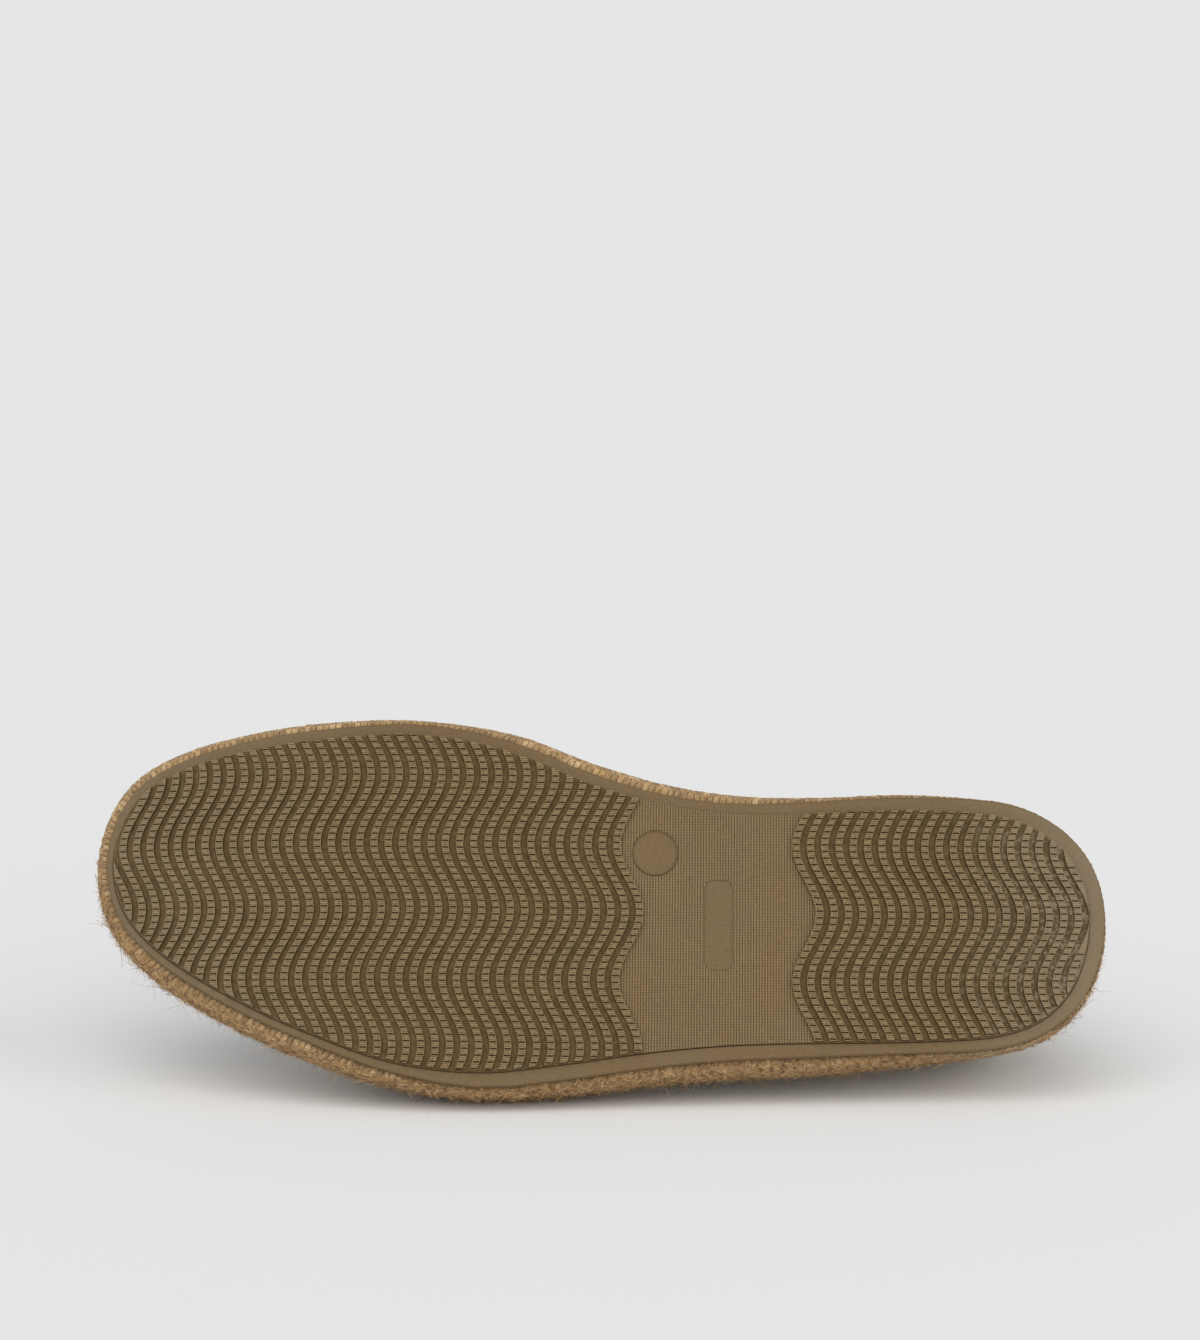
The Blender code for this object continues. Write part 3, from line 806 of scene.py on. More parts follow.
def panel_shape(settings, name, margin):
    """Flat outline of a panel on the waist, widened by a margin, and the place of its middle."""
    bm = bmesh.new()
    if name == "disc":
        bmesh.ops.create_circle(bm, cap_ends=True, segments=DISC_POINTS, radius=settings.disc_radius + margin)
        return bm, settings.disc_place
    size = (settings.plate_width + margin * 2.0, settings.plate_length + margin * 2.0, 1.0)
    bmesh.ops.create_grid(bm, x_segments=1, y_segments=1, size=0.5)
    bmesh.ops.scale(bm, verts=bm.verts, vec=size)
    round_off(bm, bm.verts, settings.plate_corner + margin, CORNER_STEPS, "VERTICES")
    return bm, settings.plate_place


def panel_on_waist(mesh, centre, height):
    """Lay a panel that was made flat on the waist, its zero at the given height."""
    points = coordinates(mesh)
    along, across = pattern_of(np.array([centre]))
    shape = tread_points(along + points[:, 0], across - points[:, 1], height - points[:, 2])
    place_vertices(mesh, lie(shape))
    return shape


def panel_ditch(settings, name):
    """A closed block that sinks a fine ditch round a panel."""
    bm, centre = panel_shape(settings, name, settings.ditch_width)
    raised = bmesh.ops.extrude_face_region(bm, geom=list(bm.faces))["geom"]
    bmesh.ops.translate(bm, verts=vertices_of(raised), vec=(0.0, 0.0, settings.ditch_depth + DITCH_REACH))
    bmesh.ops.recalc_face_normals(bm, faces=bm.faces)
    mesh = mesh_from(f"{name}_ditch", bm)
    panel_on_waist(mesh, centre, PANEL_FACE + settings.ditch_depth)
    obj = new_object(f"{name}_ditch", mesh)
    weld(mesh, DITCH_WELD)
    return obj


def cut_away(obj, cutter):
    cut = obj.modifiers.new(cutter.name, "BOOLEAN")
    cut.operation = "DIFFERENCE"
    cut.solver = "MANIFOLD"
    cut.object = cutter
    apply_modifiers(obj)
    bpy.data.objects.remove(cutter)


def map_sole(mesh, points):
    """UV map of the rubber: the place of its points in the tread pattern."""
    set_uv(mesh, "sole", np.column_stack(pattern_of(points))[loop_vertices(mesh)] / MM)


def tread_bars(settings):
    """Start and end of each ridge of the two pads, and the bars that cut the grooves beside them."""
    pitch = settings.ridge_pitch
    width = settings.ridge_width
    starts = [FOREFOOT_PAD_END + i * pitch for i in range(settings.forefoot_ridges)]
    starts += [HEEL_PAD_END - i * pitch - width for i in range(settings.heel_ridges)]
    ridges = [(start, start + width) for start in starts]
    gap = pitch - width
    gaps = [(end, end + gap) if start >= FOREFOOT_PAD_END else (start - gap, start) for start, end in ridges]
    return ridges, [(start, end, -TREAD_REACH, TREAD_REACH) for start, end in gaps]


def finish_faces(settings, mesh):
    """Give each face of the rubber sole the finish of its place."""
    centres = stand(read_vectors(mesh.polygons, "center"))
    facing = read_vectors(mesh.polygons, "normal") @ POSE_TURN[:, 2]
    along, across = pattern_of(centres)
    height = height_of(centres)
    behind = along - wave(across)
    between_pads = (behind > HEEL_PAD_END) & (behind < FOREFOOT_PAD_END)
    waist = (np.abs(height - PANEL_FACE) < FLOOR_SLACK) & between_pads
    points, outward, _, rim, _ = even_outline(RIM_EDGE_POINTS)
    inner = points - outward * rim[:, None]
    above_rim = height - RIM_FACE
    low = np.flatnonzero((above_rim > FACE_SLACK) & (above_rim < settings.line_depth + FACE_SLACK))
    gap = np.min(np.linalg.norm(centres[low, None, :2] - inner[None], axis=2), axis=1)
    line = np.zeros(len(height), bool)
    line[low[gap < settings.line_width + LINE_MARGIN]] = True
    ridge = (height < RIDGE_SLACK) & (facing < RIDGE_FACING)
    # The fine groove by the rim takes the groove finish, and with it painted shade
    groove = ((height < settings.groove_depth + FLOOR_SLACK) & ~ridge) | line
    chosen = {"ridge": ridge, "groove": groove, "waist": waist & (facing < WAIST_FACING)}
    places = list(FINISHES)
    index = np.select(list(chosen.values()), [places.index(place) for place in chosen], places.index("rim"))
    mesh.polygons.foreach_set("material_index", index.astype(np.int32))


def build_outsole(settings):
    """The rubber sole with its wavy ridges, cut into the pads of the solid."""
    bm = bmesh.new()
    bm.from_mesh(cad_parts["outsole"].data)
    bmesh.ops.remove_doubles(bm, verts=bm.verts, dist=CUTTER_WELD)
    obj = new_object("rubber_sole", mesh_from("rubber_sole", bm))
    pads = BVHTree.FromObject(obj, bpy.context.evaluated_depsgraph_get())
    ridges, grooves = tread_bars(settings)
    notches = notch_bars(settings, pads, ridges)
    cut_away(obj, cut_bars("grooves", grooves, GROOVE_STEPS, settings.groove_depth, settings.groove_draft))
    cut_away(obj, cut_bars("notches", notches, 1, settings.notch_depth, NOTCH_DRAFT))
    cut_away(obj, rim_line(settings))
    for name in PANELS:
        cut_away(obj, panel_ditch(settings, name))
    mesh = obj.data
    points = stand(coordinates(mesh))
    map_sole(mesh, points)
    height = height_of(points)
    # The fine groove's floor gets relief 0, so it takes the painted wall shade as a dark line
    line_floor = np.abs(height - RIM_FACE - settings.line_depth) < LINE_SLACK
    relief = np.where(line_floor, 0.0, np.clip(height / settings.groove_depth, 0.0, 1.5))
    set_attribute(mesh, "relief", relief)
    materials = [rubber_material(f"rubber_{place}", settings, finish) for place, finish in FINISHES.items()]
    finish_piece(obj, materials, ["outsole"])
    finish_faces(settings, mesh)


def raise_face(bm, face, height, rim, sink):
    """Raise a flat outline into a low panel with a rounded edge and a slightly sunk middle."""
    raised = bmesh.ops.extrude_face_region(bm, geom=[face])["geom"]
    bmesh.ops.translate(bm, verts=vertices_of(raised), vec=(0, 0, height))
    top = next(item for item in raised if isinstance(item, bmesh.types.BMFace))
    round_off(bm, top.edges, EDGE_ROUND, EDGE_STEPS, "EDGES")
    top = max(bm.faces, key=lambda item: item.calc_center_median().z)
    bmesh.ops.inset_region(bm, faces=[top], thickness=rim, depth=-sink, use_even_offset=True)
    bmesh.ops.recalc_face_normals(bm, faces=bm.faces)


def build_panels(settings):
    """The round and the long panel moulded on the waist, both bare."""
    for name in PANELS:
        bm, centre = panel_shape(settings, name, 0.0)
        rise = getattr(settings, f"{name}_rise")
        sink = getattr(settings, f"{name}_sink")
        raise_face(bm, next(iter(bm.faces)), settings.panel_root + rise, settings.panel_rim, sink)
        mesh = mesh_from(f"waist_{name}", bm)
        map_sole(mesh, panel_on_waist(mesh, centre, PANEL_FACE + settings.panel_root))
        obj = new_object(f"waist_{name}", mesh)
        finish_piece(obj, [rubber_material(f"rubber_{name}", settings, "smooth")])


def between(values, place):
    """Values round a closed ring, read between its points."""
    low = np.floor(place).astype(int)
    part = place - low
    if values.ndim > 1:
        part = part[:, None]
    return values[low % len(values)] * (1.0 - part) + values[(low + 1) % len(values)] * part


def matted_share(settings, points, outward, reach):
    """How far the jute is rubbed to a mat of fibres at points that face outward, from 0 to 1."""
    outer = np.clip(-outward[:, 1] / OUTER_FADE, 0.0, 1.0)
    rubbed = np.clip((RUBBED_FROM_HEEL - points[:, 0]) / RUBBED_FADE, 0.0, 1.0)
    return outer * np.maximum(rubbed, np.clip((reach - settings.mat_start) / settings.mat_fade, 0.0, 1.0))


def build_jute(settings):
    """The plaited jute sole: strands that lean one way and the other, row by row, round its edge."""
    edge_length = even_outline(4)[-1]
    strands = round(edge_length / settings.strand_pitch)
    columns = strands * settings.strand_columns
    points, normals, stand_out, _, _ = even_outline(columns)
    rows = {name: np.array([row[i] for row in PLAIT_ROWS]) for i, name in enumerate(PLAIT_COLUMNS)}
    steps = [np.linspace(row[0], row[1], row[4] + 1)[:-1] for row in PLAIT_ROWS]
    at = np.concatenate([*steps, rows["end"][-1:]])
    row_of_line = np.clip(np.searchsorted(rows["end"], at, side="right"), 0, len(PLAIT_ROWS) - 1)
    control = np.array(JUTE_PROFILE)
    stops = np.arange(len(control), dtype=float)
    profile = {name: smooth(stops, control[:, i], at) for i, name in enumerate(JUTE_COLUMNS)}
    profile["extra"] = profile["extra"] * MM
    profile["height"] = profile["height"] * MM
    reach = profile["share"] * stand_out.mean() + profile["extra"]
    path = np.concatenate([[0.0], np.cumsum(np.hypot(np.diff(reach), np.diff(profile["height"])))])
    lean = np.concatenate([[0.0], np.cumsum(np.diff(path) * rows["slant"][row_of_line[:-1]])])
    lean *= columns / edge_length
    outward = np.gradient(profile["height"], path)
    upward = -np.gradient(reach, path)
    last = len(at) + 1
    mesh, column, line = rolled_grid("jute_plait", columns, last, "strands")
    inner = np.clip(line - 1, 0, len(at) - 1)
    row = row_of_line[inner]
    shifted = column + (row % 2) * (settings.strand_columns // 2)
    phase = (shifted % settings.strand_columns) / settings.strand_columns
    strand = shifted // settings.strand_columns % strands
    chance = np.random.default_rng(settings.seed)
    strength = chance.normal(1.0, STRAND_SPREAD, (len(PLAIT_ROWS), strands))[row, strand]
    within = np.clip((at[inner] - rows["start"][row]) / (rows["end"][row] - rows["start"][row]), 0.0, 1.0)
    bulge = 1.0 - np.abs(2.0 * within - 1.0) ** STRAND_FULLNESS
    round_top = np.sqrt(np.clip(1.0 - (2.0 * phase - 1.0) ** 2, 0.0, 1.0))
    place = column - lean[inner]
    base = profile["share"][inner] * between(stand_out, place) + profile["extra"][inner]
    matted = matted_share(settings, points[column], normals[column], base)
    strength = strength * (1.0 - MAT_LOSS * matted)
    calm = np.where(row > 1, CALM_SHARE * np.clip(normals[column, 1] / CALM_FADE, 0.0, 1.0), 0.0)
    form = strength * bulge * (0.1 + 0.9 * round_top) * (1.0 - calm) + CALM_FORM * calm
    rise = settings.strand_relief * rows["relief"][row] * (form - LEVEL_FORM)
    rough = chance.normal(0.0, settings.fibre_relief, (columns, len(at)))
    rise += rough[column, inner] * (rows["relief"][row] > 0.0)
    offset = base + rise * outward[inner]
    flat = between(points, place) + between(normals, place) * offset[:, None]
    height = profile["height"][inner] + rise * upward[inner]
    close_ends(flat, column, line, (round(lean[0]), round(lean[-1])))
    place_vertices(mesh, lie(sprung(flat, height)))
    faced = between(normals, place)
    set_attribute(mesh, "reach", offset)
    set_attribute(mesh, "facing", np.arctan2(faced[:, 1], faced[:, 0]))
    uv = get_uv(mesh, "strands")
    corner_line = uv[:, 1] * last - 1.0
    face_line = np.floor(corner_line.reshape(-1, 4).mean(1)).astype(int)
    face_row = np.repeat(row_of_line[np.clip(face_line, 0, len(at) - 1)], 4)
    corner_at = np.interp(corner_line, np.arange(len(at)), at)
    within = (corner_at - rows["start"][face_row]) / (rows["end"][face_row] - rows["start"][face_row])
    across = uv[:, 0] * strands + (face_row % 2) * 0.5
    set_uv(mesh, "strands", np.column_stack([across, face_row + np.clip(within, 0.001, 0.999)]))
    weld(mesh, STRAND_WELD)
    mesh.shade_smooth()
    obj = new_object("jute_plait", mesh)
    finish_piece(obj, [jute_material(settings)], ["jute_midsole"])


def tubes(name, paths, radii, sides):
    """One mesh of closed thin tubes, from arrays of path points (tube, point, 3) and radii (tube, point)."""
    count, points = paths.shape[:2]
    along = unit(np.gradient(paths, axis=1))
    guide = np.where(np.abs(along[..., 2:]) < 0.9, [0.0, 0.0, 1.0], [1.0, 0.0, 0.0])
    first = unit(np.cross(along, guide))
    second = np.cross(along, first)
    turn = np.arange(sides) * 2.0 * math.pi / sides
    ring = first[:, :, None] * np.cos(turn)[:, None] + second[:, :, None] * np.sin(turn)[:, None]
    verts = paths[:, :, None] + ring * radii[:, :, None, None]
    step = np.arange(count)[:, None, None] * points * sides
    level = np.arange(points - 1)[None, :, None] * sides
    side = np.arange(sides)[None, None, :]
    following = (side + 1) % sides
    lower = step + level + side
    lower_next = step + level + following
    quads = np.stack([lower, lower_next, lower_next + sides, lower + sides], -1).reshape(-1, 4)
    start = np.arange(count)[:, None] * points * sides + np.arange(sides)[None, ::-1]
    end = start[:, ::-1] + (points - 1) * sides
    caps = np.concatenate([start, end])
    mesh = bpy.data.meshes.new(name)
    mesh.from_pydata(verts.reshape(-1, 3).tolist(), [], quads.tolist() + caps.tolist())
    mesh.update()
    mesh.shade_smooth()
    return new_object(name, mesh)


def grow_fibres(settings, row):
    """Fibres rooted on the jute's side, most of them where it is rubbed to a mat."""
    plait = bpy.data.objects["jute_plait"].data
    roots = coordinates(plait)
    normals = read_vectors(plait.vertices, "normal")
    upright = stand(roots)
    height = height_of(upright)
    reach = get_attribute(plait, "reach")
    facing = get_attribute(plait, "facing")
    outward = np.column_stack([np.cos(facing), np.sin(facing), np.zeros(len(facing))])
    along_edge = np.column_stack([-outward[:, 1], outward[:, 0], outward[:, 2]]) @ POSE_TURN.T
    up = POSE_TURN[:, 2]
    side = (height < settings.fuzz_high) & (reach > settings.fuzz_start) & (normals @ up < TOP_FACING)
    matted = matted_share(settings, upright, outward, reach)
    weight = np.where(side, np.maximum(matted, row["sheltered"]), 0.0)
    count = row["count"]
    points = row["points"]
    chance = np.random.default_rng(settings.seed + count)
    picked = chance.choice(len(roots), count, p=weight / weight.sum())
    normal = normals[picked]
    edge = unit(along_edge[picked] - normal * np.sum(along_edge[picked] * normal, axis=1)[:, None])
    rising = np.cross(normal, edge)
    scatter = chance.normal(0.0, row["scatter"], count)
    slant = np.radians(scatter + chance.choice([-FIBRE_SLANT, FIBRE_SLANT], count))[:, None]
    tangent = (edge * np.cos(slant) + rising * np.sin(slant)) * chance.choice([-1.0, 1.0], count)[:, None]
    lift = np.radians(chance.uniform(row["low_lift"], row["high_lift"], count))[:, None]
    length = chance.lognormal(math.log(row["length"]), row["spread"], count)
    length = np.clip(length, *FIBRE_LENGTHS)[:, None] * MM
    length *= 0.4 + 0.6 * matted[picked][:, None]
    start = normal * np.sin(lift) + tangent * np.cos(lift)
    bend = chance.normal(0.0, row["curl"], normal.shape) - 0.3 * normal
    t = np.linspace(0.0, 1.0, points)[None, :, None]
    paths = roots[picked][:, None] + length[:, None] * (start[:, None] * t + bend[:, None] * t**2 * 0.6)
    paths[..., 2] = np.maximum(paths[..., 2], FIBRE_FLOOR)
    taper = np.linspace(1.0, 0.5, points)[None, :]
    radii = chance.uniform(0.6, 1.2, (count, 1)) * row["radius"] * MM * taper
    obj = tubes(row["name"], paths, radii, FIBRE_SIDES)
    set_attribute(obj.data, "tone", np.repeat(chance.random(count), points * FIBRE_SIDES))
    finish_piece(obj, [fibre_material(row["name"], settings)])


def build_fuzz(settings):
    """Loose fibres that stand off the jute, and those that lie on it."""
    for row in FIBRES:
        grow_fibres(settings, dict(zip(FIBRE_COLUMNS, row)))


def upper_surface(stations, rows):
    """Points of the last's surface, station by station, and how many stations lie behind the throat."""
    throat = float(angle_of(THROAT_FROM_HEEL))
    back = round(stations * throat / math.pi)
    behind = np.linspace(0.0, throat, back + 1)
    ahead = np.linspace(throat, math.pi, stations - back + 1)[1:]
    split = [row[0] for row in UPPER_SECTIONS].index(THROAT_FROM_HEEL)
    quarters = read_table(UPPER_COLUMNS, UPPER_SECTIONS[: split + 1], behind)
    vamp = read_table(UPPER_COLUMNS, UPPER_SECTIONS[split:], ahead)
    table = {name: np.concatenate([quarters[name], vamp[name]]) for name in UPPER_COLUMNS}
    angles = np.concatenate([behind, ahead])
    points, normals, stand_out, _ = outline(angles)
    flat = points + normals * (stand_out - LAST_INSET)[:, None]
    edge = sprung(flat, FOOTBED + SEAM_LIFT)
    lift = {name: both_sides(table[name], table[name]) for name in UPPER_COLUMNS}
    end_x = lift["end_x"] * MM
    end_y = both_sides(table["end_medial"], -table["end_lateral"]) * MM
    end = np.column_stack([end_x, end_y, FOOTBED + spring(end_x) + lift["end_height"] * MM])
    leave = edge.copy()
    leave[:, :2] += normals * (lift["flare"] * MM)[:, None]
    leave[:, 2] += lift["rise"] * (end[:, 2] - edge[:, 2])
    arrive = end + (edge - end) * np.column_stack([lift["reach"], lift["reach"], lift["drop"]])
    t = np.linspace(0.0, 1.0, rows + 1)[None, :, None]
    cubic = (1 - t) ** 3 * edge[:, None] + 3 * t * (1 - t) ** 2 * leave[:, None]
    cubic = cubic + 3 * t * t * (1 - t) * arrive[:, None] + t**3 * end[:, None]
    return cubic, back


def build_hem_stitches(settings, surface, back):
    """The row of stitches round the collar that holds its folded hem."""
    cloth = BVHTree.FromObject(bpy.data.objects["canvas_upper"], bpy.context.evaluated_depsgraph_get())
    order = np.r_[len(surface) - back : len(surface), 0 : back + 1]
    edge = surface[order, -1]
    along = unit(np.gradient(edge, axis=0))
    down = surface[order, -4] - edge
    down = unit(down - along * np.sum(down * along, axis=1)[:, None])
    ahead = surface[back + 3, -1] - edge[-1]
    throat = edge[-1] + ahead * (settings.seam_height / np.linalg.norm(ahead))
    line = np.vstack([throat, edge + down * settings.seam_height, throat])
    facing = np.vstack([[0.0, 0.0, 1.0], np.cross(along, down), [0.0, 0.0, 1.0]])
    near = [cloth.find_nearest(spot) for spot in lie(line + facing * 2.0 * MM)]
    spots = np.array([hit[0] for hit in near])
    normals = np.array([hit[1] for hit in near])
    length = running_length(spots)
    count = int(length[-1] / settings.stitch_pitch)
    share = np.linspace(0.0, 1.0, STITCH_POINTS)
    at = np.arange(count)[:, None] * settings.stitch_pitch + share[None] * settings.stitch_length
    paths = np.stack([np.interp(at, length, spots[:, i]) for i in range(3)], -1)
    outward = np.stack([np.interp(at, length, normals[:, i]) for i in range(3)], -1)
    rise = settings.thread_radius * (2.2 * np.sin(math.pi * share) ** 0.6 - 1.4)
    paths += outward * rise[None, :, None]
    obj = tubes("hem_stitches", paths, np.full(at.shape, settings.thread_radius), STITCH_SIDES)
    finish_piece(obj, [thread_material("hem_thread", settings.thread_colour)])


def build_upper(settings):
    """The canvas upper, hollow, with a folded hem at the collar."""
    surface, back = upper_surface(settings.stations, settings.rows)
    count = len(surface)
    mesh, station, row = rolled_grid("canvas_upper", count, settings.rows, "cloth")
    place_vertices(mesh, surface[station, row])
    uv = get_uv(mesh, "cloth")
    base = surface[:, settings.rows // 3]
    round_length = running_length(np.vstack([base, base[:1]]))
    up_length = np.array([running_length(section) for section in surface])
    corner_station = np.rint(uv[:, 0] * count).astype(int)
    corner_row = np.rint(uv[:, 1] * settings.rows).astype(int)
    cloth = np.column_stack([round_length[corner_station], up_length[corner_station % count, corner_row]])
    set_uv(mesh, "cloth", cloth / MM)
    weld(mesh, CLOTH_WELD)
    obj = new_object("canvas_upper", mesh)
    wall = obj.modifiers.new("wall", "SOLIDIFY")
    wall.thickness = WALL - settings.hem_relief
    wall.offset = 1.0
    wall.use_even_offset = True
    wall.use_quality_normals = True
    wall.material_offset = 1
    wall.material_offset_rim = 0
    obj.data.materials.append(None)
    obj.data.materials.append(None)
    apply_modifiers(obj)
    mesh = obj.data
    points = coordinates(mesh)
    ends = surface[:, -1]
    collar = np.concatenate([ends[: back + 1], ends[-back:]])
    near = np.min(np.linalg.norm(points[:, None] - collar[None, ::2], axis=2), axis=1)
    normals = read_vectors(mesh.vertices, "normal")
    fold = np.clip((settings.hem_height - near) / (1.0 * MM), 0.0, 1.0)
    fold = fold * fold * (3.0 - 2.0 * fold)
    place_vertices(mesh, lie(points + normals * (settings.hem_relief * fold)[:, None]))
    mesh.shade_smooth()
    canvas = cloth_material("canvas", settings.canvas_colour, settings.weave_pitch, slub=0.1)
    lining = cloth_material("lining", settings.lining_colour, settings.lining_pitch, slub=0.05)
    finish_piece(obj, [canvas, lining], ["upper"])
    build_hem_stitches(settings, surface, back)


def build_insole(settings):
    """The footbed inside the upper, with a rounded edge."""
    points, normals, stand_out, _, _ = even_outline(FOOTBED_POINTS)
    edge = stand_out - LAST_INSET - INSOLE_CLEARANCE
    top = FOOTBED + INSOLE_THICKNESS
    rings = (
        (0.0, FOOTBED),
        (0.0, top - 0.9 * MM),
        (-0.25 * MM, top - 0.3 * MM),
        (-0.9 * MM, top),
        (-8.0 * MM, top),
    )
    mesh, column, line = rolled_grid("footbed", FOOTBED_POINTS, len(rings) + 1, "cloth")
    inset, height = np.array(rings)[np.clip(line - 1, 0, len(rings) - 1)].T
    flat = points[column] + normals[column] * (edge[column] + inset)[:, None]
    close_ends(flat, column, line, (0, 0))
    shape = sprung(flat, height)
    place_vertices(mesh, lie(shape))
    set_uv(mesh, "cloth", shape[loop_vertices(mesh)][:, :2] / MM)
    weld(mesh, CLOTH_WELD)
    mesh.shade_smooth()
    obj = new_object("footbed", mesh)
    cloth = cloth_material("footbed_cloth", settings.footbed_colour, settings.footbed_pitch, slub=0.08)
    finish_piece(obj, [cloth], ["insole"])


def build_stage(settings):
    """Pale floor, even light from all round, soft lamps and the camera."""
    bm = bmesh.new()
    bmesh.ops.create_grid(bm, x_segments=1, y_segments=1, size=settings.floor_size)
    floor = new_object("floor", mesh_from("floor", bm))
    made, tree, shader = new_material("pale_floor")
    matt = {"Base Color": shade(settings.floor_colour), "Roughness": 1.0, "Specular IOR Level": 0.0}
    set_inputs(tree, shader, matt)
    floor.data.materials.append(made)
    world = bpy.data.worlds.new("studio")
    bpy.context.scene.world = world
    world.use_nodes = True
    tree = world.node_tree
    seen = add_node(tree, "ShaderNodeLightPath", {}).outputs["Is Camera Ray"]
    strength = mix_values(tree, seen, settings.sky_light, settings.backdrop)
    colour = mix_colour(tree, seen, shade(settings.sky_colour), shade((1.0, 1.0, 1.0)))
    set_inputs(tree, tree.nodes["Background"], {"Strength": strength, "Color": colour})
    for row in LAMPS:
        row = dict(zip(LAMP_COLUMNS, row))
        lamp = bpy.data.lights.new(row["name"], "SUN")
        lamp.energy = row["power"] * settings.lamp_power
        lamp.color = settings.lamp_colour
        lamp.angle = math.radians(row["softness"])
        holder = bpy.data.objects.new(row["name"], lamp)
        holder.rotation_euler = (math.radians(row["turn_x"]), 0.0, math.radians(row["turn_z"]))
        bpy.context.scene.collection.objects.link(holder)
    camera = bpy.data.cameras.new("camera")
    camera.lens = settings.lens
    eye = bpy.data.objects.new("camera", camera)
    eye.location = settings.camera_place
    tilt = Matrix.Rotation(math.pi / 2.0 - settings.camera_pitch, 4, "X")
    eye.rotation_euler = (tilt @ Matrix.Rotation(settings.camera_roll, 4, "Z")).to_euler()
    bpy.context.scene.collection.objects.link(eye)
    bpy.context.scene.camera = eye
    bpy.context.scene.view_settings.view_transform = "Standard"


def count_property(name, description, default):
    return IntProperty(name=name, description=description, default=default)


def number_property(name, description, default):
    return FloatProperty(name=name, description=description, default=default)


def angle_property(name, description, degrees):
    return FloatProperty(name=name, description=description, default=math.radians(degrees), subtype="ANGLE")


def length_property(name, description, default):
    return FloatProperty(name=name, description=description, default=default * MM, unit="LENGTH", precision=5)


def vector_property(name, description, default, **kind):
    return FloatVectorProperty(name=name, description=description, default=default, **kind)


def colour_property(name, description, default):
    return vector_property(name, description, default, subtype="COLOR", min=0.0, max=1.0)


def place_property(name, description, default):
    place = [value * MM for value in default]
    return vector_property(name, description, place, size=2, unit="LENGTH", precision=5)


class RubberSettings(bpy.types.PropertyGroup):
    """Sizes and colours of the rubber sole"""

    ridge_pitch: length_property("Ridge pitch", "Distance from one wavy ridge to the next", 4.085)
    ridge_width: length_property("Ridge width", "Width of a ridge along the shoe", 2.4)
    groove_depth: length_property("Groove depth", "Depth of the grooves between the ridges", 1.1)
    groove_draft: length_property("Groove draft", "How far a groove's wall leans out", 0.12)
    forefoot_ridges: count_property("Forefoot ridges", "Ridges ahead of the waist", 40)
    heel_ridges: count_property("Heel ridges", "Ridges behind the waist", 23)
    notch_pitch: length_property("Notch pitch", "Distance between the notches along a ridge", 1.925)
    notch_width: length_property("Notch width", "Width of a notch", 0.48)
    notch_margin: length_property("Notch margin", "Distance from a notch's end to its ridge's edge", 0.34)
    notch_depth: length_property("Notch depth", "Depth of a notch", 0.42)
    line_width: length_property("Line width", "Width of the fine groove inside the rim", 0.24)
    line_depth: length_property("Line depth", "Depth of the fine groove inside the rim", 0.35)
    ditch_width: length_property("Ditch width", "Width of the fine ditch round a panel", 0.2)
    ditch_depth: length_property("Ditch depth", "Depth of the fine ditch round a panel", 0.22)
    grid_pitch: length_property("Grid pitch", "Pitch of the fine grid of the waist", 0.8)
    line_pitch: length_property("Line pitch", "Pitch of the fine lines across the ridges", 0.6417)
    disc_radius: length_property("Disc radius", "Radius of the round panel on the waist", 6.45)
    disc_rise: length_property("Disc rise", "How far the rim of the round panel stands out", 0.42)
    disc_sink: length_property("Disc sink", "How far the round panel's middle lies below its rim", 0.34)
    plate_width: length_property("Plate width", "Width of the long panel on the waist", 7.7)
    plate_length: length_property("Plate length", "Length of the long panel on the waist", 25.6)
    plate_rise: length_property("Plate rise", "How far the long panel stands out", -0.1)
    plate_sink: length_property("Plate sink", "How far the long panel's middle lies below its rim", 0.05)
    plate_corner: length_property("Plate corner", "Roundness of the long panel's corners", 2.2)
    panel_rim: length_property("Panel rim", "Width of the rim of a panel", 0.45)
    panel_root: length_property("Panel root", "How deep the panels are rooted in the waist", 0.6)
    disc_place: place_property("Disc place", "Middle of the round panel", (129.3, 10.9))
    plate_place: place_property("Plate place", "Middle of the long panel", (109.7, -8.4))
    blotch_scale: number_property("Blotch scale", "Blotches in a metre", 70.0)
    grain_scale: number_property("Grain scale", "Grains in a metre", 1400.0)
    colour: colour_property("Rubber", "Colour of the rubber", (0.172, 0.12, 0.0556))
    stain_colour: colour_property("Stain", "Colour of the warmer stains", (0.164, 0.0995, 0.0435))
    # Painted shade on the grooves' floors
    groove_shade_colour: colour_property("Groove", "Colour of the grooves' floors", (0.0965, 0.0588, 0.0216))
    # Painted shade on the grooves' walls, also used for dark specks of dirt on their floors
    wall_shade_and_dirt_colour: colour_property("Wall shade and dirt", "Colour of the painted shade on the grooves' walls and of dark specks of dirt", (0.066, 0.038, 0.0125))
    dust_colour: colour_property("Dust", "Colour of the dust at both ends", (0.270, 0.225, 0.160))


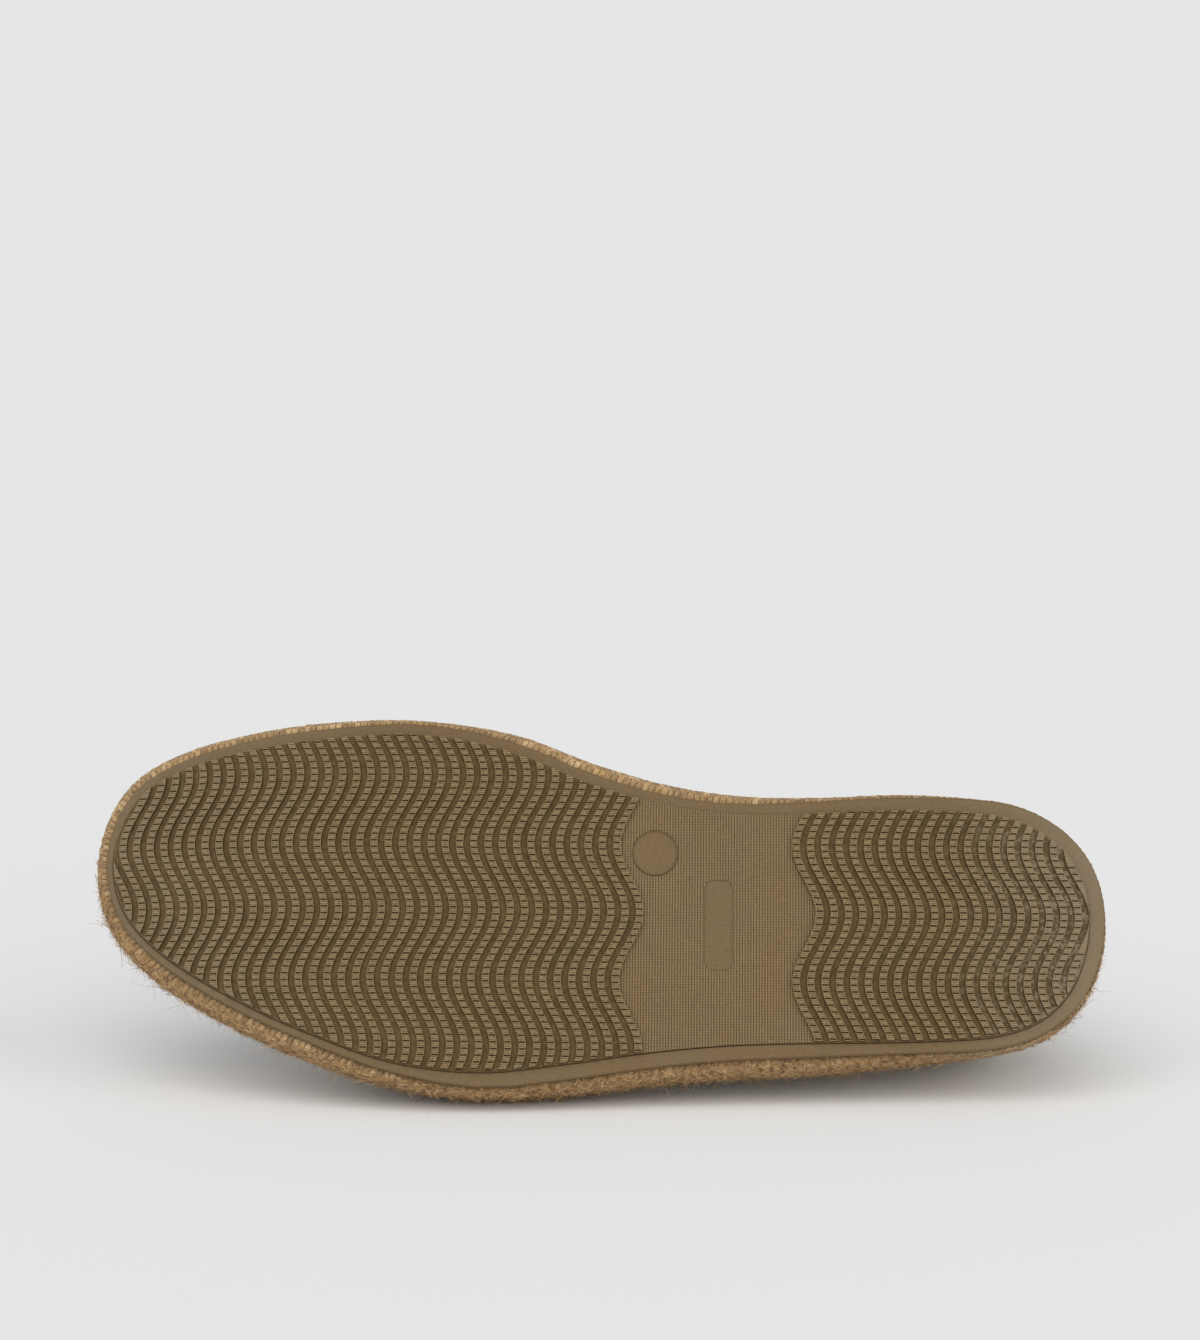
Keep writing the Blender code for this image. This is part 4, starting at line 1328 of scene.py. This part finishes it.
class JuteSettings(bpy.types.PropertyGroup):
    """Sizes and colours of the plaited jute"""

    strand_pitch: length_property("Strand pitch", "Distance between strands along the edge", 1.85)
    strand_relief: length_property("Strand relief", "How far a strand stands out", 0.85)
    fibre_relief: length_property("Fibre relief", "Unevenness of the strands", 0.035)
    strand_columns: count_property("Strand columns", "Mesh columns in one strand", 6)
    fuzz_start: length_property("First fibres", "Distance from the rubber's edge to the first fibres", 0.5)
    mat_start: length_property("Start of the mat", "Distance from the rubber's edge to the mat", 1.2)
    mat_fade: length_property("Fade of the mat", "Distance over which the mat thickens", 0.6)
    fuzz_high: length_property("Highest fibres", "Height where the loose fibres end", 19.3)
    clump_scale: number_property("Clump scale", "Clumps of loose fibres in a metre", 620.0)
    seed: count_property("Seed", "Start of the chance that spreads the fibres", 11)
    colour: colour_property("Jute", "Middle colour of the strands", (0.37, 0.225, 0.095))
    gold_colour: colour_property("Golden jute", "Colour of the warmer strands", (0.52, 0.316, 0.121))
    fibre_colour: colour_property("Fibres", "Colour of the loose fibres", (0.6, 0.35, 0.149))
    pale_colour: colour_property("Pale fibre", "Colour of the palest fibres", (0.70, 0.502, 0.264))
    # Also the colour of the painted shade between the strands
    shade_and_dark_fibre_colour: colour_property("Dark fibre and painted shade", "Colour between the fibres", (0.112, 0.057, 0.020))


class CanvasSettings(bpy.types.PropertyGroup):
    """Sizes and colours of the canvas upper and the footbed"""

    weave_pitch: length_property("Weave pitch", "Thread pitch of the canvas", 0.8)
    lining_pitch: length_property("Lining pitch", "Thread pitch of the lining", 0.5)
    footbed_pitch: length_property("Footbed pitch", "Thread pitch of the footbed's cloth", 0.9)
    hem_height: length_property("Hem height", "Height of the folded edge at the collar", 9.0)
    hem_relief: length_property("Hem relief", "How far the folded edge stands out", 0.35)
    seam_height: length_property("Seam height", "Distance of the stitches from the collar", 6.8)
    stitch_pitch: length_property("Stitch pitch", "Distance from one stitch to the next", 3.2)
    stitch_length: length_property("Stitch length", "Length of a stitch", 2.4)
    thread_radius: length_property("Thread radius", "Radius of the sewing thread", 0.22)
    stations: count_property("Stations", "Sections of the upper on each side", 130)
    rows: count_property("Rows", "Mesh rows up a section", 40)
    canvas_colour: colour_property("Canvas", "Colour of the canvas", (0.60, 0.52, 0.40))
    lining_colour: colour_property("Lining", "Colour of the lining", (0.68, 0.62, 0.52))
    thread_colour: colour_property("Thread", "Colour of the sewing thread", (0.66, 0.58, 0.45))
    footbed_colour: colour_property("Footbed", "Colour of the footbed", (0.45, 0.36, 0.24))


class StageSettings(bpy.types.PropertyGroup):
    """Floor, light and camera"""

    floor_size: length_property("Floor size", "Half the width of the floor", 60000.0)
    floor_colour: colour_property("Floor", "Colour of the floor", (0.848, 0.848, 0.848))
    backdrop: number_property("Backdrop", "Brightness of the backdrop", 0.791)
    sky_light: number_property("Light all round", "Strength of the even light", 0.4323)
    sky_colour: colour_property("Sky", "Colour of the even light", (0.895, 0.933, 1.0))
    lamp_colour: colour_property("Lamps", "Colour of the lamps", (1.0, 0.971, 0.919))
    lamp_power: number_property("Lamp", "Strength of the lamps", 1.046)
    lens: number_property("Lens", "Focal length in millimetres", 94.19)
    camera_place: vector_property(
        "Camera", "Place of the camera in metres", (0.0016, -1.0071, 0.2710), subtype="XYZ", unit="LENGTH"
    )
    camera_pitch: angle_property("Camera pitch", "How far the camera looks down", 8.56)
    camera_roll: angle_property("Camera roll", "How far the camera is rolled", -0.51)


class ESPADRILLE_OT_outsole(bpy.types.Operator):
    """Make the rubber sole with its wavy tread, and the panels on its waist"""

    bl_idname = "espadrille.outsole"
    bl_label = "Rubber sole"

    def execute(self, context):
        build_outsole(context.scene.espadrille_rubber)
        build_panels(context.scene.espadrille_rubber)
        return {"FINISHED"}


class ESPADRILLE_OT_jute(bpy.types.Operator):
    """Make the plaited jute sole and its loose fibres"""

    bl_idname = "espadrille.jute"
    bl_label = "Plaited jute"

    def execute(self, context):
        build_jute(context.scene.espadrille_jute)
        build_fuzz(context.scene.espadrille_jute)
        return {"FINISHED"}


class ESPADRILLE_OT_upper(bpy.types.Operator):
    """Make the canvas upper and its stitches"""

    bl_idname = "espadrille.upper"
    bl_label = "Canvas upper"

    def execute(self, context):
        build_upper(context.scene.espadrille_canvas)
        return {"FINISHED"}


class ESPADRILLE_OT_insole(bpy.types.Operator):
    """Make the footbed"""

    bl_idname = "espadrille.insole"
    bl_label = "Footbed"

    def execute(self, context):
        build_insole(context.scene.espadrille_canvas)
        return {"FINISHED"}


class ESPADRILLE_OT_stage(bpy.types.Operator):
    """Make the floor, the light and the camera"""

    bl_idname = "espadrille.stage"
    bl_label = "Stage"

    def execute(self, context):
        build_stage(context.scene.espadrille_stage)
        return {"FINISHED"}


class ESPADRILLE_PT_panel(bpy.types.Panel):
    """Pieces of the espadrille"""

    bl_idname = "ESPADRILLE_PT_panel"
    bl_label = "Espadrille"
    bl_space_type = "VIEW_3D"
    bl_region_type = "UI"
    bl_category = "Espadrille"

    def draw(self, context):
        for operator in OPERATORS:
            self.layout.operator(operator.bl_idname)


SETTINGS = {
    "espadrille_rubber": RubberSettings,
    "espadrille_jute": JuteSettings,
    "espadrille_canvas": CanvasSettings,
    "espadrille_stage": StageSettings,
}
OPERATORS = (
    ESPADRILLE_OT_outsole,
    ESPADRILLE_OT_jute,
    ESPADRILLE_OT_upper,
    ESPADRILLE_OT_insole,
    ESPADRILLE_OT_stage,
)
CLASSES = (*SETTINGS.values(), *OPERATORS, ESPADRILLE_PT_panel)


def register():
    for item in CLASSES:
        bpy.utils.register_class(item)
    for name, group in SETTINGS.items():
        setattr(bpy.types.Scene, name, PointerProperty(type=group))


def unregister():
    for name in SETTINGS:
        delattr(bpy.types.Scene, name)
    for item in reversed(CLASSES):
        bpy.utils.unregister_class(item)


def main():
    register()
    bpy.ops.espadrille.outsole()
    bpy.ops.espadrille.jute()
    bpy.ops.espadrille.upper()
    bpy.ops.espadrille.insole()
    bpy.ops.espadrille.stage()


if __name__ == "__main__":
    main()
